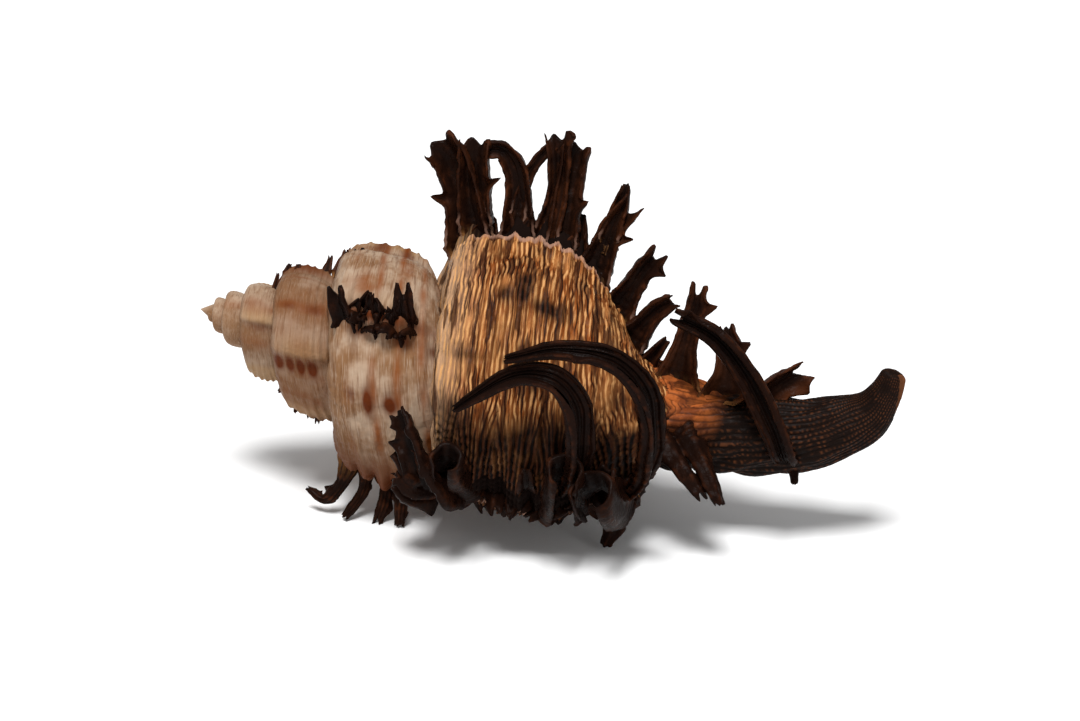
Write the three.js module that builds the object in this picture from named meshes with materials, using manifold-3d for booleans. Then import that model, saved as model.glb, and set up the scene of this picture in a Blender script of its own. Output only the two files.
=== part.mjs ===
// Murex shell: a coiled shell with frilled varices, long recurved fronds and a long siphonal canal.
// Millimetres, +Z up. The shell is first built about its coil axis: local +X runs from the apex to the
// canal, and a place is given as [along, angle, radius], where angle 0 faces the viewer (local -Y),
// +90 is the top, and the shell grows towards falling angles. The whole is then laid on its fronds.
import * as THREE from 'three';
import { mergeVertices } from 'three/addons/utils/BufferGeometryUtils.js';
import Module from 'manifold-3d';

const wasm = await Module();
wasm.setup();

// How the shell lies: roll about the coil axis, dip of the canal end, and turn towards the viewer.
const ROLL = 22;
const DIP = 11.3;
const TURN = 7.5;

// Growth. Turn 0 is the lip and turn -1 lies one whole turn before it.
const LIP_ANGLE = -88;
const FIRST_TURN = -6.2;
const APEX_SHIFT = -0.8;
const SUTURE_AT_MINUS_ONE = 24.4;
const SUTURE_GROWTH = 1.74;
const RADIUS_AT_MINUS_ONE = 16.7;
const HEIGHT_AT_MINUS_ONE = 21.5;
const RADIUS_GROWTH = 1.68;
// The first whorls are wider than that growth makes them: turn, extra radius.
const EARLY_WIDENING = [[-6.2, 0.1], [-5.5, 0.6], [-4.5, 0.8], [-3.4, 0.55], [-2.7, 0]];
const LAST_TURN_SUTURE = [[-0.75, 28.2], [-0.5, 32.6], [-0.25, 35.8], [0, 38]];
const LAST_TURN_RADIUS = [[-0.75, 17.2], [-0.5, 18], [-0.25, 18.7], [0, 18.6]];
const LAST_TURN_HEIGHT = [[-0.75, 25], [-0.5, 29], [-0.25, 31.5], [0, 33]];

// Whorl section from the suture to the base: share of the height, share of the radius.
// The spire's section is squarer, and turns into the last whorl's between the two blend turns.
const WHORL_PROFILE = [
  [0, 0.5], [0.03, 0.76], [0.08, 0.9], [0.2, 0.98], [0.42, 1],
  [0.6, 0.96], [0.75, 0.84], [0.88, 0.62], [1, 0.36],
];
const SPIRE_PROFILE = [
  [0, 0.6], [0.03, 0.83], [0.08, 0.93], [0.2, 0.99], [0.42, 1.01],
  [0.6, 0.99], [0.75, 0.94], [0.88, 0.8], [1, 0.5],
];
const PROFILE_BLEND = { from: -1.15, to: -0.85 };
// The shoulder of the penultimate varix stands out squarely, up to a share of the height.
const SHOULDER = { turn: -0.99, reach: 0.06, share: 0.3, radius: 0.97 };
const PROFILE_STOPS = [0, 0.03, 0.08, 0.2, 0.35, 0.5, 0.64, 0.77, 0.89, 1];
const SPIRE_STOPS = [0, 0.06, 0.22, 0.45, 0.64, 0.82, 1];
// Every stretch of the coil is swept on its own: from turn, to turn, step, and where the section is cut.
const LAST_WHORL = { from: -0.88, to: 0, step: 0.05, stops: PROFILE_STOPS };
const SPIRE_WHORLS = [
  { from: -1.76, to: -0.86, step: 0.06, stops: PROFILE_STOPS },
  { from: -2.64, to: -1.74, step: 0.07, stops: SPIRE_STOPS },
  { from: -3.52, to: -2.62, step: 0.09, stops: SPIRE_STOPS },
  { from: -4.4, to: -3.5, step: 0.11, stops: SPIRE_STOPS },
  { from: -5.28, to: -4.38, step: 0.13, stops: SPIRE_STOPS },
  { from: FIRST_TURN, to: -5.26, step: 0.16, stops: SPIRE_STOPS },
];
const LEAST_STEP = 0.018;
const INNER_SHARE = 0.25;
const CORE_SHARE = 0.27;
const CORE_TIP = [[0, -0.8], [0.35, -0.3], [1.35, 1.5]];
const CORE_SIDES = 12;
const COLUMELLA_RADIUS = 5.4;
const COLUMELLA_END = 66;

// Varices: the turn of each crest and its height as a share of the whorl radius.
const VARICES = [
  { turn: -0.092, height: 0.09 },
  { turn: -0.481, height: 0.12 },
  { turn: -0.758, height: 0.12 },
  { turn: -0.989, height: 0.13 },
  { turn: -1.286, height: 0.1 },
  { turn: -1.53, height: 0.16 },
  { turn: -1.97, height: 0.2 },
  { turn: -2.19, height: 0.12 },
  { turn: -2.33, height: 0.07 },
  { turn: -2.51, height: 0.2 },
  { turn: -2.98, height: 0.3 },
  { turn: -3.25, height: 0.14 },
  { turn: -3.55, height: 0.14 },
];
const VARIX_RISE = 0.07;
const VARIX_FALL = 0.022;
// The section is cut again this far past each crest, where the steep side ends.
const VARIX_FOOT = 0.031;
// The ridge fades towards the suture and the base: its crest is a half wave over these shares.
const CREST_START = 0.08;
const CREST_SPAN = 0.9;
// Crests of the spire are squarer than those of the last whorl.
const SPIRE_CREST_POWER = 0.45;

// Knob between the last two varices.
const KNOB = { along: 47, angle: 40, height: 1.4, halfLength: 4, halfAngle: 15 };

// Aperture and the tube behind it, as an oval in each half-plane through the axis.
const CAVITY = [
  { turn: -0.72, along: 41, radius: 9.5, halfAlong: 2.5, halfRadius: 2 },
  { turn: -0.55, along: 44, radius: 10.5, halfAlong: 6, halfRadius: 3.8 },
  { turn: -0.35, along: 48, radius: 11.2, halfAlong: 8.5, halfRadius: 4.9 },
  { turn: -0.15, along: 51, radius: 11.5, halfAlong: 10, halfRadius: 5.4 },
  { turn: -0.03, along: 52.5, radius: 11.6, halfAlong: 10.8, halfRadius: 5.6 },
  { turn: 0.04, along: 53, radius: 11.8, halfAlong: 11.6, halfRadius: 6 },
];
const CAVITY_SIDES = 12;
const CAVITY_STEPS = 10;

// Siphonal canal: centre line as [along, towards the back, up] and half widths.
const CANAL = [
  { centre: [56, 0, -0.5], half: 5.5 },
  { centre: [65, 0, -1.6], half: 7 },
  { centre: [72.5, 0, -2.4], half: 6.3 },
  { centre: [79.5, -1, -2.2], half: 5.6 },
  { centre: [86.5, -1.6, -1.1], half: 5.1 },
  { centre: [92.8, -2.5, 1.3], half: 4.3 },
  { centre: [96.7, -3.6, 4], half: 3.4 },
  { centre: [98.3, -5, 7], half: 2.4 },
  { centre: [99.2, -6, 10.6], half: 1.6 },
];
const CANAL_SIDES = 10;
const CANAL_STEPS = 18;
const CANAL_DEPTH_SHARE = 0.85;
// The slit runs from just outside the aperture to the tip; its floor and top are shares of the half width.
// It faces down and back at first, and outwards where the canal bends up: [share of length, way].
const SLIT_WAY = [
  [0.12, [0, 0.8, -0.6]], [0.55, [0.1, 0.75, -0.65]], [0.82, [0.9, 0.1, -0.3]], [1, [1, -0.7, 0]],
];
const SLIT_WIDTH = 1.3;
const SLIT_FLOOR = 0.55;
const SLIT_TOP = 1.35;
const SLIT_START = 0.12;
const SLIT_STEPS = 10;
const PAST_THE_TIP = 1;

// Fronds: a gutter of shell whose open side faces the way the shell grows.
// Width is given at the root, along the shaft and at the tip; spurs are [share of length, side, length].
const FRONDS = {
  top: [
    { course: [[36.8, 85, 16.5], [34.6, 85, 23], [31.8, 84, 28.4], [29.8, 82, 30.3]], width: [9, 4.6, 4.8],
      spurs: [[0.55, -1, 1.8]] },
    { course: [[37, 85, 20], [35.6, 84, 26], [35, 82, 31.2]], width: [7, 4.6, 4],
      spurs: [[0.6, 1, 1.8]] },
    { course: [[43.5, 86, 18], [42.3, 85, 25], [41, 84, 28.8], [38.8, 83, 30.9], [36.2, 82, 30.6]],
      width: [10, 3.2, 2], spurs: [] },
    { course: [[46.8, 86, 19], [46.6, 86, 26], [46.3, 85, 31], [46, 85, 34]], width: [7, 3.2, 3.6],
      spurs: [[0.97, 1, 1.2]] },
    { course: [[43, 85, 22], [44.4, 85, 28.5], [45.6, 85, 32.5]], width: [4.5, 2, 1.6], spurs: [] },
    { course: [[49.8, 86, 18], [49.2, 86, 26], [49.2, 86, 31], [49.2, 85, 33.2]], width: [7, 3.6, 3.6],
      spurs: [[0.55, 1, 1.4]] },
    { course: [[52.3, 87, 18.5], [51.6, 86, 24]], width: [5, 1.8, 0.8], spurs: [] },
    { course: [[55, 85, 16], [56.5, 84, 23], [58.6, 83, 26.6]], width: [8, 3.6, 3],
      spurs: [[0.65, 1, 1.8]] },
    { course: [[56.3, 84, 22.5], [57, 83, 26.5], [57.2, 82, 29.4]], width: [3.4, 2.1, 1.1], spurs: [] },
    { course: [[59.6, 82, 12.5], [62, 81, 18], [63.6, 79, 20.6]], width: [8, 3, 2.4],
      spurs: [[0.85, 1, 1.5]] },
    { course: [[62.4, 76, 9], [65, 74, 13.3], [67.2, 72, 15.2]], width: [6.5, 2.6, 1.8], spurs: [] },
    { course: [[65, 67, 6], [67, 66, 9.6]], width: [5, 1.9, 1], spurs: [] },
    { course: [[69.6, 52, 3.5], [69.8, 66, 9.5], [70.3, 70, 14.4], [70.3, 70, 17.6]],
      width: [10, 3.2, 2.2], spurs: [[0.85, 1, 1.6]] },
    { course: [[77.6, 57, 3], [76.6, 76, 8], [75, 81, 12.2]], width: [10, 3.8, 1.8],
      spurs: [[0.75, 1, 1.3]] },
    { course: [[81.5, 45, 2], [84.6, 70, 5.8], [87.4, 76, 8.6]], width: [8.5, 4, 2.6],
      spurs: [[0.85, 1, 1.2]] },
  ],
  last: [
    { course: [[58.8, -56, 16], [59.8, -26, 21.3], [58.6, -7, 24.8], [55.7, 0, 27], [50.5, -1, 26],
      [42.6, -15, 25]], width: [8, 4.2, 1.3], spurs: [] },
    { course: [[67.7, -53, 14], [68.8, -19, 18.3], [67, 1, 24], [62.7, 8, 27.3], [55.8, 8, 28.3],
      [48.5, 3, 27]], width: [8, 3.7, 1.5], spurs: [[0.72, -1, 1.8]] },
    { course: [[64.4, -46, 15], [65.2, -28, 19.3], [64.6, -18, 20.5]], width: [5.5, 3.4, 2],
      spurs: [] },
    { course: [[41, -58, 17.5], [40.8, -51, 22.4], [38.6, -39, 22.6], [36.4, -30, 21], [34.7, -24, 20]],
      width: [9, 5.8, 3.4], spurs: [[0.55, -1, 2], [0.8, -1, 1.6]] },
    { course: [[40.2, -58, 18.5], [37.6, -51, 23], [35.2, -46, 23.6]], width: [6, 3.4, 1.6],
      spurs: [] },
    { course: [[44, -54, 17.5], [43, -39, 22.6], [42.9, -31, 25]], width: [7, 4.4, 4.6],
      spurs: [] },
    { course: [[50.2, -56, 17], [50.6, -42, 21.5], [49.6, -31, 22.4]], width: [7.5, 3.4, 1.6],
      spurs: [] },
    { course: [[56.5, -56, 16.5], [57.4, -36, 20.4], [57.4, -25, 22.2]], width: [6.5, 3.2, 3],
      spurs: [] },
    { course: [[64.8, -77, 13], [65.2, -82, 18], [65.6, -84, 21.6]], width: [6.6, 4.6, 2.4], spurs: [] },
    { course: [[55.6, -74, 15.5], [56.3, -79, 20.3]], width: [5, 2.6, 1], spurs: [] },
    { course: [[46, -72, 16.5], [48, -77, 20]], width: [5.5, 2.8, 1.4], spurs: [] },
    { course: [[39.7, -70, 16], [38.4, -76, 21.2]], width: [6, 2.8, 1.2], spurs: [] },
    { course: [[69.4, -36, 8], [73, -42, 12], [76.6, -52, 14.8]], width: [6, 2.8, 1.3], spurs: [] },
    { course: [[73, -32, 6], [76.2, -43, 11.5], [79.2, -53, 15.2]], width: [5.5, 2.6, 1.2], spurs: [] },
    { course: [[86.5, -75, 3.5], [86.6, -35, 6.8], [84.7, -3, 8.4], [80.1, 30, 11.5], [74.2, 43, 15.6],
      [68.8, 45, 17.2]], width: [6, 3, 1.9], spurs: [[0.95, 1, 1.2]] },
    { course: [[87.3, -68, 3.5], [88.5, -75, 7.8]], width: [3.4, 1.6, 0.8], spurs: [] },
  ],
  back: [
    { course: [[31, 186, 12], [30, 193, 20], [29.5, 203, 22.5], [30, 210, 22]], width: [8, 3, 1.5],
      spurs: [] },
    { course: [[36.3, 185, 15], [36, 194, 22.5], [36, 206, 24.5], [36.5, 214, 24]], width: [8, 3.5, 2],
      spurs: [[0.6, -1, 1.6]] },
    { course: [[41.5, 185, 15.5], [42.5, 194, 23], [43.5, 206, 25.2], [44, 217, 23.9]],
      width: [8, 3.5, 2.4], spurs: [[0.6, 1, 1.6]] },
    { course: [[46.5, 185, 14], [48.5, 194, 22], [50.5, 206, 24], [51.5, 217, 22.5]],
      width: [8, 3.6, 2.6], spurs: [[0.6, -1, 1.6]] },
    { course: [[51, 186, 11], [54, 194, 19], [57, 206, 22.2], [59, 219, 21.2]], width: [7.5, 3.4, 2.4],
      spurs: [] },
    { course: [[60, 190, 5], [63, 196, 11], [66, 205, 15], [67.5, 212, 15.5]], width: [7, 2.8, 1.4],
      spurs: [] },
    { course: [[70, 195, 4], [73, 199, 9], [75.5, 207, 12]], width: [6, 2.6, 1.2], spurs: [] },
  ],
  penultimate: [
    { course: [[25.2, -91, 14.5], [24.3, -94, 21], [22.2, -97, 23.8], [19.8, -98, 22.8]],
      width: [9, 3, 1.5], spurs: [] },
    { course: [[27.7, -91, 15.5], [28, -94, 21.5], [26.7, -94, 25]], width: [6.5, 3, 2], spurs: [] },
    { course: [[30.6, -91, 15.5], [31.1, -94, 21.5], [31, -94, 25]], width: [6, 2.8, 1.8], spurs: [] },
    { course: [[33, -89, 14.5], [33.7, -90, 21.5], [33.8, -92, 24.6]], width: [5.5, 2.8, 1.8],
      spurs: [] },
  ],
  stub: [
    { course: [[24.5, 4, 12.5], [23.3, 14, 16], [22.2, 21, 17.6]], width: [4.8, 2.8, 2.4], spurs: [] },
    { course: [[27.2, 6, 13], [27, 15, 16.6]], width: [4.6, 3.2, 2.4], spurs: [] },
    { course: [[29.5, 8, 12.8], [29.5, 17, 16.8]], width: [4.6, 3, 2.2], spurs: [] },
    { course: [[31.6, 10, 11.5], [31.8, 20, 16.9], [31.2, 27, 18.7]], width: [5, 2.8, 2.2], spurs: [] },
    { course: [[20, 83, 7], [18.9, 84, 10.8]], width: [3.6, 2.2, 1.4], spurs: [] },
  ],
};
const FROND_THICKNESS_AT_ROOT = 1.15;
const FROND_THICKNESS_AT_TIP = 0.6;
const GUTTER_DEPTH_SHARE = 0.42;
const ROOT_DEPTH = 1.5;
const WEB_SHARE = 0.45;
const WEB_TO_SHAFT = 1.1;
const TAPER_SHARE = 0.8;
const FROND_STEP = 4.2;
const MOST_FROND_STEPS = 8;
// Gutter section: [across in widths, rise in gutter depths, skin in thicknesses]; its edges stand up.
const GUTTER = [[-0.5, 1, 0.2], [-0.36, 0, -0.5], [0.36, 0, -0.5], [0.5, 1, 0.2], [0, 0.25, 0.5]];
// Spurs are three-sided and lean towards the tip; half sizes are shares of the frond's width there.
const SPUR_SECTION = [[-1, 0.5], [0, -1], [1, 0.5]];
const SPUR_LEAN = 0.8;
const SPUR_ROOT = 0.4;
const SPUR_TIP = 0.14;
const SPUR_MOST_THICKNESS = 0.55;

const degrees = THREE.MathUtils.degToRad;

const evenShares = (count) => Array.from({ length: count + 1 }, (_, i) => i / count);

// Corners of a circle of radius 1.
function roundOutline(sides) {
  return Array.from({ length: sides }, (_, i) => {
    const round = 2 * Math.PI * i / sides;
    return new THREE.Vector2(Math.cos(round), Math.sin(round));
  });
}

function place(along, angle, radius) {
  const phi = degrees(angle);
  return new THREE.Vector3(along, -radius * Math.cos(phi), radius * Math.sin(phi));
}

// Smooth curve through [x, y] keys, with slopes taken across each key's neighbours.
function smooth(keys, x) {
  const last = keys.length - 1;
  const at = THREE.MathUtils.clamp(x, keys[0][0], keys[last][0]);
  let i = 0;
  while (i < last - 1 && at > keys[i + 1][0]) i += 1;
  const slope = (k) => {
    const before = keys[Math.max(k - 1, 0)];
    const after = keys[Math.min(k + 1, last)];
    return (after[1] - before[1]) / (after[0] - before[0]);
  };
  const span = keys[i + 1][0] - keys[i][0];
  const u = (at - keys[i][0]) / span;
  const startWeight = (1 + 2 * u) * (1 - u) * (1 - u);
  const startSlopeWeight = u * (1 - u) * (1 - u) * span;
  const endWeight = u * u * (3 - 2 * u);
  const endSlopeWeight = u * u * (u - 1) * span;
  return startWeight * keys[i][1] + startSlopeWeight * slope(i)
    + endWeight * keys[i + 1][1] + endSlopeWeight * slope(i + 1);
}

// Suture, radius and height of the whorl at a turn: even growth up to the last turn, keys after it.
function growth(turn) {
  const spire = (t) => ({
    suture: APEX_SHIFT + SUTURE_AT_MINUS_ONE * SUTURE_GROWTH ** (t + 1),
    radius: RADIUS_AT_MINUS_ONE * RADIUS_GROWTH ** (t + 1) + smooth(EARLY_WIDENING, t),
    height: HEIGHT_AT_MINUS_ONE * RADIUS_GROWTH ** (t + 1),
  });
  if (turn <= -1) return spire(turn);
  const joined = (name, keys) => smooth([[-1.2, spire(-1.2)[name]], [-1, spire(-1)[name]], ...keys], turn);
  return {
    suture: joined('suture', LAST_TURN_SUTURE),
    radius: joined('radius', LAST_TURN_RADIUS),
    height: joined('height', LAST_TURN_HEIGHT),
  };
}

const angleOfTurn = (turn) => LIP_ANGLE - 360 * turn;

// Height of the varices at a turn: a slow rise and a steep fall in the direction of growth.
function varixRelief(turn) {
  let relief = 0;
  for (const varix of VARICES) {
    const away = turn - varix.turn;
    const reach = away < 0 ? VARIX_RISE : VARIX_FALL;
    relief += varix.height * Math.exp(-((away / reach) ** 2));
  }
  return relief;
}

function knobRelief(along, angle) {
  const u = (along - KNOB.along) / KNOB.halfLength;
  const v = (angle - KNOB.angle) / KNOB.halfAngle;
  return KNOB.height * Math.exp(-u * u - v * v);
}

function bodyBlend(turn) {
  return THREE.MathUtils.smoothstep(turn, PROFILE_BLEND.from, PROFILE_BLEND.to);
}

function sectionRadius(turn, share) {
  const blend = bodyBlend(turn);
  const section = THREE.MathUtils.lerp(smooth(SPIRE_PROFILE, share), smooth(WHORL_PROFILE, share), blend);
  const near = Math.exp(-(((turn - SHOULDER.turn) / SHOULDER.reach) ** 2));
  const top = 1 - THREE.MathUtils.smoothstep(share, 0.05, SHOULDER.share);
  return section + near * top * Math.max(SHOULDER.radius - section, 0);
}

function whorlPoint(turn, share) {
  const { suture, radius, height } = growth(turn);
  const along = suture + share * height;
  const angle = angleOfTurn(turn);
  const arch = Math.sin(Math.PI * (CREST_START + CREST_SPAN * share));
  const crest = arch ** THREE.MathUtils.lerp(SPIRE_CREST_POWER, 1, bodyBlend(turn));
  const relief = varixRelief(turn) * radius * crest;
  return place(along, angle, radius * sectionRadius(turn, share) + relief + knobRelief(along, angle));
}

// Closed solid from rings with equal numbers of points; the outline gives the end caps' shape.
function ringSolid(rings, outline) {
  const count = outline.length;
  const vertices = rings.flat().flatMap((point) => [point.x, point.y, point.z]);
  const triangles = [];
  for (let ring = 0; ring + 1 < rings.length; ring += 1) {
    for (let i = 0; i < count; i += 1) {
      const a = ring * count + i;
      const b = ring * count + (i + 1) % count;
      triangles.push(a, b, b + count, a, b + count, a + count);
    }
  }
  const lastRing = (rings.length - 1) * count;
  const caps = THREE.ShapeUtils.triangulateShape(outline, []);
  const firstCap = caps[0].map((i) => outline[i]);
  const alike = THREE.ShapeUtils.isClockWise(outline) === THREE.ShapeUtils.isClockWise(firstCap);
  for (const cap of caps) {
    const [a, b, c] = alike ? cap : cap.toReversed();
    triangles.push(c, b, a);
    triangles.push(lastRing + a, lastRing + b, lastRing + c);
  }
  return solidFrom(vertices, triangles);
}

function solidFrom(vertices, triangles) {
  const corner = (k) => new THREE.Vector3().fromArray(vertices, triangles[k] * 3);
  let volume = 0;
  for (let k = 0; k < triangles.length; k += 3) {
    volume += corner(k).dot(corner(k + 1).cross(corner(k + 2)));
  }
  const outward = volume > 0 ? triangles : triangles.toReversed();
  return new wasm.Manifold(new wasm.Mesh({
    numProp: 3,
    vertProperties: new Float32Array(vertices),
    triVerts: new Uint32Array(outward),
  }));
}

function solidFromGeometry(geometry) {
  geometry.deleteAttribute('normal');
  geometry.deleteAttribute('uv');
  const merged = mergeVertices(geometry, 1e-5);
  return solidFrom([...merged.attributes.position.array], [...merged.index.array]);
}

const joinAll = (solids) => solids.reduce((whole, solid) => whole.add(solid));

// Part of the coil between two turns, under one whole turn so that it never meets itself.
function whorlSolid({ from, to, step, stops }) {
  const count = Math.ceil((to - from) / step);
  const turns = evenShares(count).map((share) => from + (to - from) * share);
  for (const varix of VARICES) {
    for (const offset of [0, VARIX_FOOT]) {
      const turn = varix.turn + offset;
      if (turn > from && turn < to) turns.push(turn);
    }
  }
  turns.sort((a, b) => a - b);
  const spaced = turns.filter((turn, i) => i === 0 || turn - turns[i - 1] > LEAST_STEP);
  const rings = spaced.map((turn) => {
    const { suture, radius, height } = growth(turn);
    const ring = stops.map((share) => whorlPoint(turn, share));
    ring.push(place(suture + height, angleOfTurn(turn), radius * INNER_SHARE));
    ring.push(place(suture, angleOfTurn(turn), radius * INNER_SHARE));
    return ring;
  });
  const outline = stops.map((share) => new THREE.Vector2(share, sectionRadius(from, share)));
  outline.push(new THREE.Vector2(1, INNER_SHARE), new THREE.Vector2(0, INNER_SHARE));
  return ringSolid(rings, outline);
}

// Tube of the aperture, wound the same way as the last whorl.
function cavitySolid() {
  const outline = roundOutline(CAVITY_SIDES);
  const first = CAVITY[0].turn;
  const last = CAVITY[CAVITY.length - 1].turn;
  const rings = evenShares(CAVITY_STEPS).map((share) => {
    const turn = first + (last - first) * share;
    const at = (name) => smooth(CAVITY.map((stage) => [stage.turn, stage[name]]), turn);
    return outline.map((corner) => place(
      at('along') + corner.x * at('halfAlong'),
      angleOfTurn(turn),
      at('radius') + corner.y * at('halfRadius'),
    ));
  });
  return ringSolid(rings, outline);
}

// Core of the coil: a cone through the spire that becomes the columella.
function coreSolid() {
  const coneEnd = COLUMELLA_RADIUS / CORE_SHARE;
  const columella = [[COLUMELLA_RADIUS, coneEnd], [COLUMELLA_RADIUS, COLUMELLA_END], [0, COLUMELLA_END]];
  const points = [...CORE_TIP, ...columella].map(([radius, along]) => new THREE.Vector2(radius, along));
  const lathe = new THREE.LatheGeometry(points, CORE_SIDES);
  lathe.rotateZ(-Math.PI / 2);
  return solidFromGeometry(lathe);
}

function curveThrough(points) {
  return new THREE.CatmullRomCurve3(points, false, 'centripetal');
}

// Side direction and back direction of a sweep, carried along without twisting.
function carriedFrames(curve, shares, firstOpenSide) {
  const frames = [];
  let open = firstOpenSide.clone();
  for (const share of shares) {
    const ahead = curve.getTangentAt(share).normalize();
    open = open.clone().addScaledVector(ahead, -open.dot(ahead)).normalize();
    frames.push({ ahead, open, side: new THREE.Vector3().crossVectors(ahead, open) });
  }
  return frames;
}

function canalSolid() {
  const curve = curveThrough(CANAL.map((stage) => new THREE.Vector3(...stage.centre)));
  const halves = CANAL.map((stage, i) => [i / (CANAL.length - 1), stage.half]);
  const outline = roundOutline(CANAL_SIDES);
  const rings = evenShares(CANAL_STEPS).map((share) => {
    const centre = curve.getPoint(share);
    const ahead = curve.getTangent(share).normalize();
    const depth = new THREE.Vector3(0, 1, 0);
    depth.addScaledVector(ahead, -depth.dot(ahead)).normalize();
    const upright = new THREE.Vector3().crossVectors(ahead, depth);
    const half = smooth(halves, share);
    return outline.map((corner) => centre.clone()
      .addScaledVector(upright, corner.x * half)
      .addScaledVector(depth, corner.y * half * CANAL_DEPTH_SHARE));
  });
  return { solid: ringSolid(rings, outline), curve, halves };
}

// Narrow slit that opens the canal along its length on the aperture's side.
function slitSolid(canal) {
  const half = SLIT_WIDTH / 2;
  const section = [[-half, SLIT_FLOOR], [half, SLIT_FLOOR], [half, SLIT_TOP], [-half, SLIT_TOP]];
  const outline = section.map(([x, y]) => new THREE.Vector2(x, y));
  const rings = evenShares(SLIT_STEPS).map((part) => {
    const share = SLIT_START + (1 - SLIT_START) * part;
    const centre = canal.curve.getPoint(share);
    const ahead = canal.curve.getTangent(share).normalize();
    if (part === 1) centre.addScaledVector(ahead, PAST_THE_TIP);
    const way = [0, 1, 2].map((axis) => smooth(SLIT_WAY.map(([at, faced]) => [at, faced[axis]]), share));
    const out = new THREE.Vector3(...way);
    out.addScaledVector(ahead, -out.dot(ahead)).normalize();
    const across = new THREE.Vector3().crossVectors(ahead, out);
    const canalHalf = smooth(canal.halves, share);
    return outline.map((corner) => centre.clone()
      .addScaledVector(across, corner.x)
      .addScaledVector(out, corner.y * canalHalf));
  });
  return ringSolid(rings, outline);
}

function gutterRing(centre, frame, width, thickness) {
  return GUTTER.map(([across, rise, skin]) => centre.clone()
    .addScaledVector(frame.side, across * width)
    .addScaledVector(frame.open, rise * width * GUTTER_DEPTH_SHARE + skin * thickness));
}

function frondSolid(frond) {
  const points = frond.course.map(([along, angle, radius]) => place(along, angle, radius));
  const root = points[0].clone().sub(points[1]).normalize();
  points.unshift(points[0].clone().addScaledVector(root, ROOT_DEPTH));
  const curve = curveThrough(points);
  const length = curve.getLength();
  const steps = Math.min(Math.round(length / FROND_STEP) + 1, MOST_FROND_STEPS);
  const shares = evenShares(steps);
  const rootAngle = degrees(frond.course[0][1]);
  const growthWay = new THREE.Vector3(0, -Math.sin(rootAngle), -Math.cos(rootAngle));
  const frames = carriedFrames(curve, shares, growthWay);
  const [rootWidth, shaftWidth, tipWidth] = frond.width;
  const widths = [[0, rootWidth], [WEB_SHARE, shaftWidth * WEB_TO_SHAFT],
    [TAPER_SHARE, (shaftWidth + tipWidth) / 2], [1, tipWidth]];
  const rings = shares.map((share, i) => gutterRing(
    curve.getPointAt(share),
    frames[i],
    smooth(widths, share),
    THREE.MathUtils.lerp(FROND_THICKNESS_AT_ROOT, FROND_THICKNESS_AT_TIP, share),
  ));
  const outline = GUTTER.map(([across, rise, skin]) => new THREE.Vector2(across, (rise + skin) / 2));
  const solids = [ringSolid(rings, outline)];
  for (const [share, side, spurLength] of frond.spurs) {
    const ahead = curve.getTangentAt(share);
    const nearest = frames[Math.round(share * steps)];
    const width = smooth(widths, share);
    solids.push(spurSolid(curve.getPointAt(share), ahead, nearest, side, spurLength, width));
  }
  return joinAll(solids);
}

// Short prong that leaves a frond sideways and tapers to a blunt point.
function spurSolid(start, ahead, frame, side, length, width) {
  const way = frame.side.clone().multiplyScalar(side).addScaledVector(ahead, SPUR_LEAN).normalize();
  const broad = new THREE.Vector3().crossVectors(way, frame.open).normalize();
  const outline = SPUR_SECTION.map(([x, y]) => new THREE.Vector2(x, y));
  const reach = length + width * SPUR_ROOT;
  const rings = [[0, SPUR_ROOT * width], [reach, SPUR_TIP * width]].map(([out, half]) => (
    outline.map((corner) => start.clone()
      .addScaledVector(way, out)
      .addScaledVector(broad, corner.x * half)
      .addScaledVector(frame.open, corner.y * Math.min(half, SPUR_MOST_THICKNESS)))));
  return ringSolid(rings, outline);
}

function shellSolid() {
  const lastWhorl = whorlSolid(LAST_WHORL).subtract(cavitySolid());
  const canal = canalSolid();
  const coil = joinAll([lastWhorl, ...SPIRE_WHORLS.map(whorlSolid), coreSolid(), canal.solid]);
  const fronds = Object.values(FRONDS).flat().map(frondSolid);
  return joinAll([coil.subtract(slitSolid(canal)), ...fronds]);
}

function geometryOf(solid) {
  const mesh = solid.getMesh();
  const geometry = new THREE.BufferGeometry();
  geometry.setAttribute('position', new THREE.BufferAttribute(new Float32Array(mesh.vertProperties), 3));
  geometry.setIndex(new THREE.BufferAttribute(new Uint32Array(mesh.triVerts), 1));
  return geometry;
}

const shellMaterial = new THREE.MeshStandardMaterial({ color: 0x8a6242, roughness: 0.55, metalness: 0 });
const shell = new THREE.Mesh(geometryOf(shellSolid()), shellMaterial);
shell.name = 'shell';

// Lay the shell down and set the origin under the middle of its box.
const laid = new THREE.Group();
laid.rotation.set(degrees(-ROLL), degrees(DIP), degrees(-TURN), 'XYZ');
laid.add(shell);
const group = new THREE.Group();
group.add(laid);
group.updateMatrixWorld(true);
const extent = new THREE.Box3().setFromObject(laid, true);
laid.position.set(
  -(extent.min.x + extent.max.x) / 2,
  -(extent.min.y + extent.max.y) / 2,
  -extent.min.z,
);

export default group;
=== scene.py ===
"""Murex shell: fine mesh, materials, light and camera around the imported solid.

The shell is built in millimetres about its coil axis, as in the solid: +X from the apex to the canal,
angle 0 towards the viewer, +90 up, growth towards falling angles. It is then laid down in metres.
"""

import bpy
import numpy as np
from mathutils import Matrix, Vector


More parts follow.
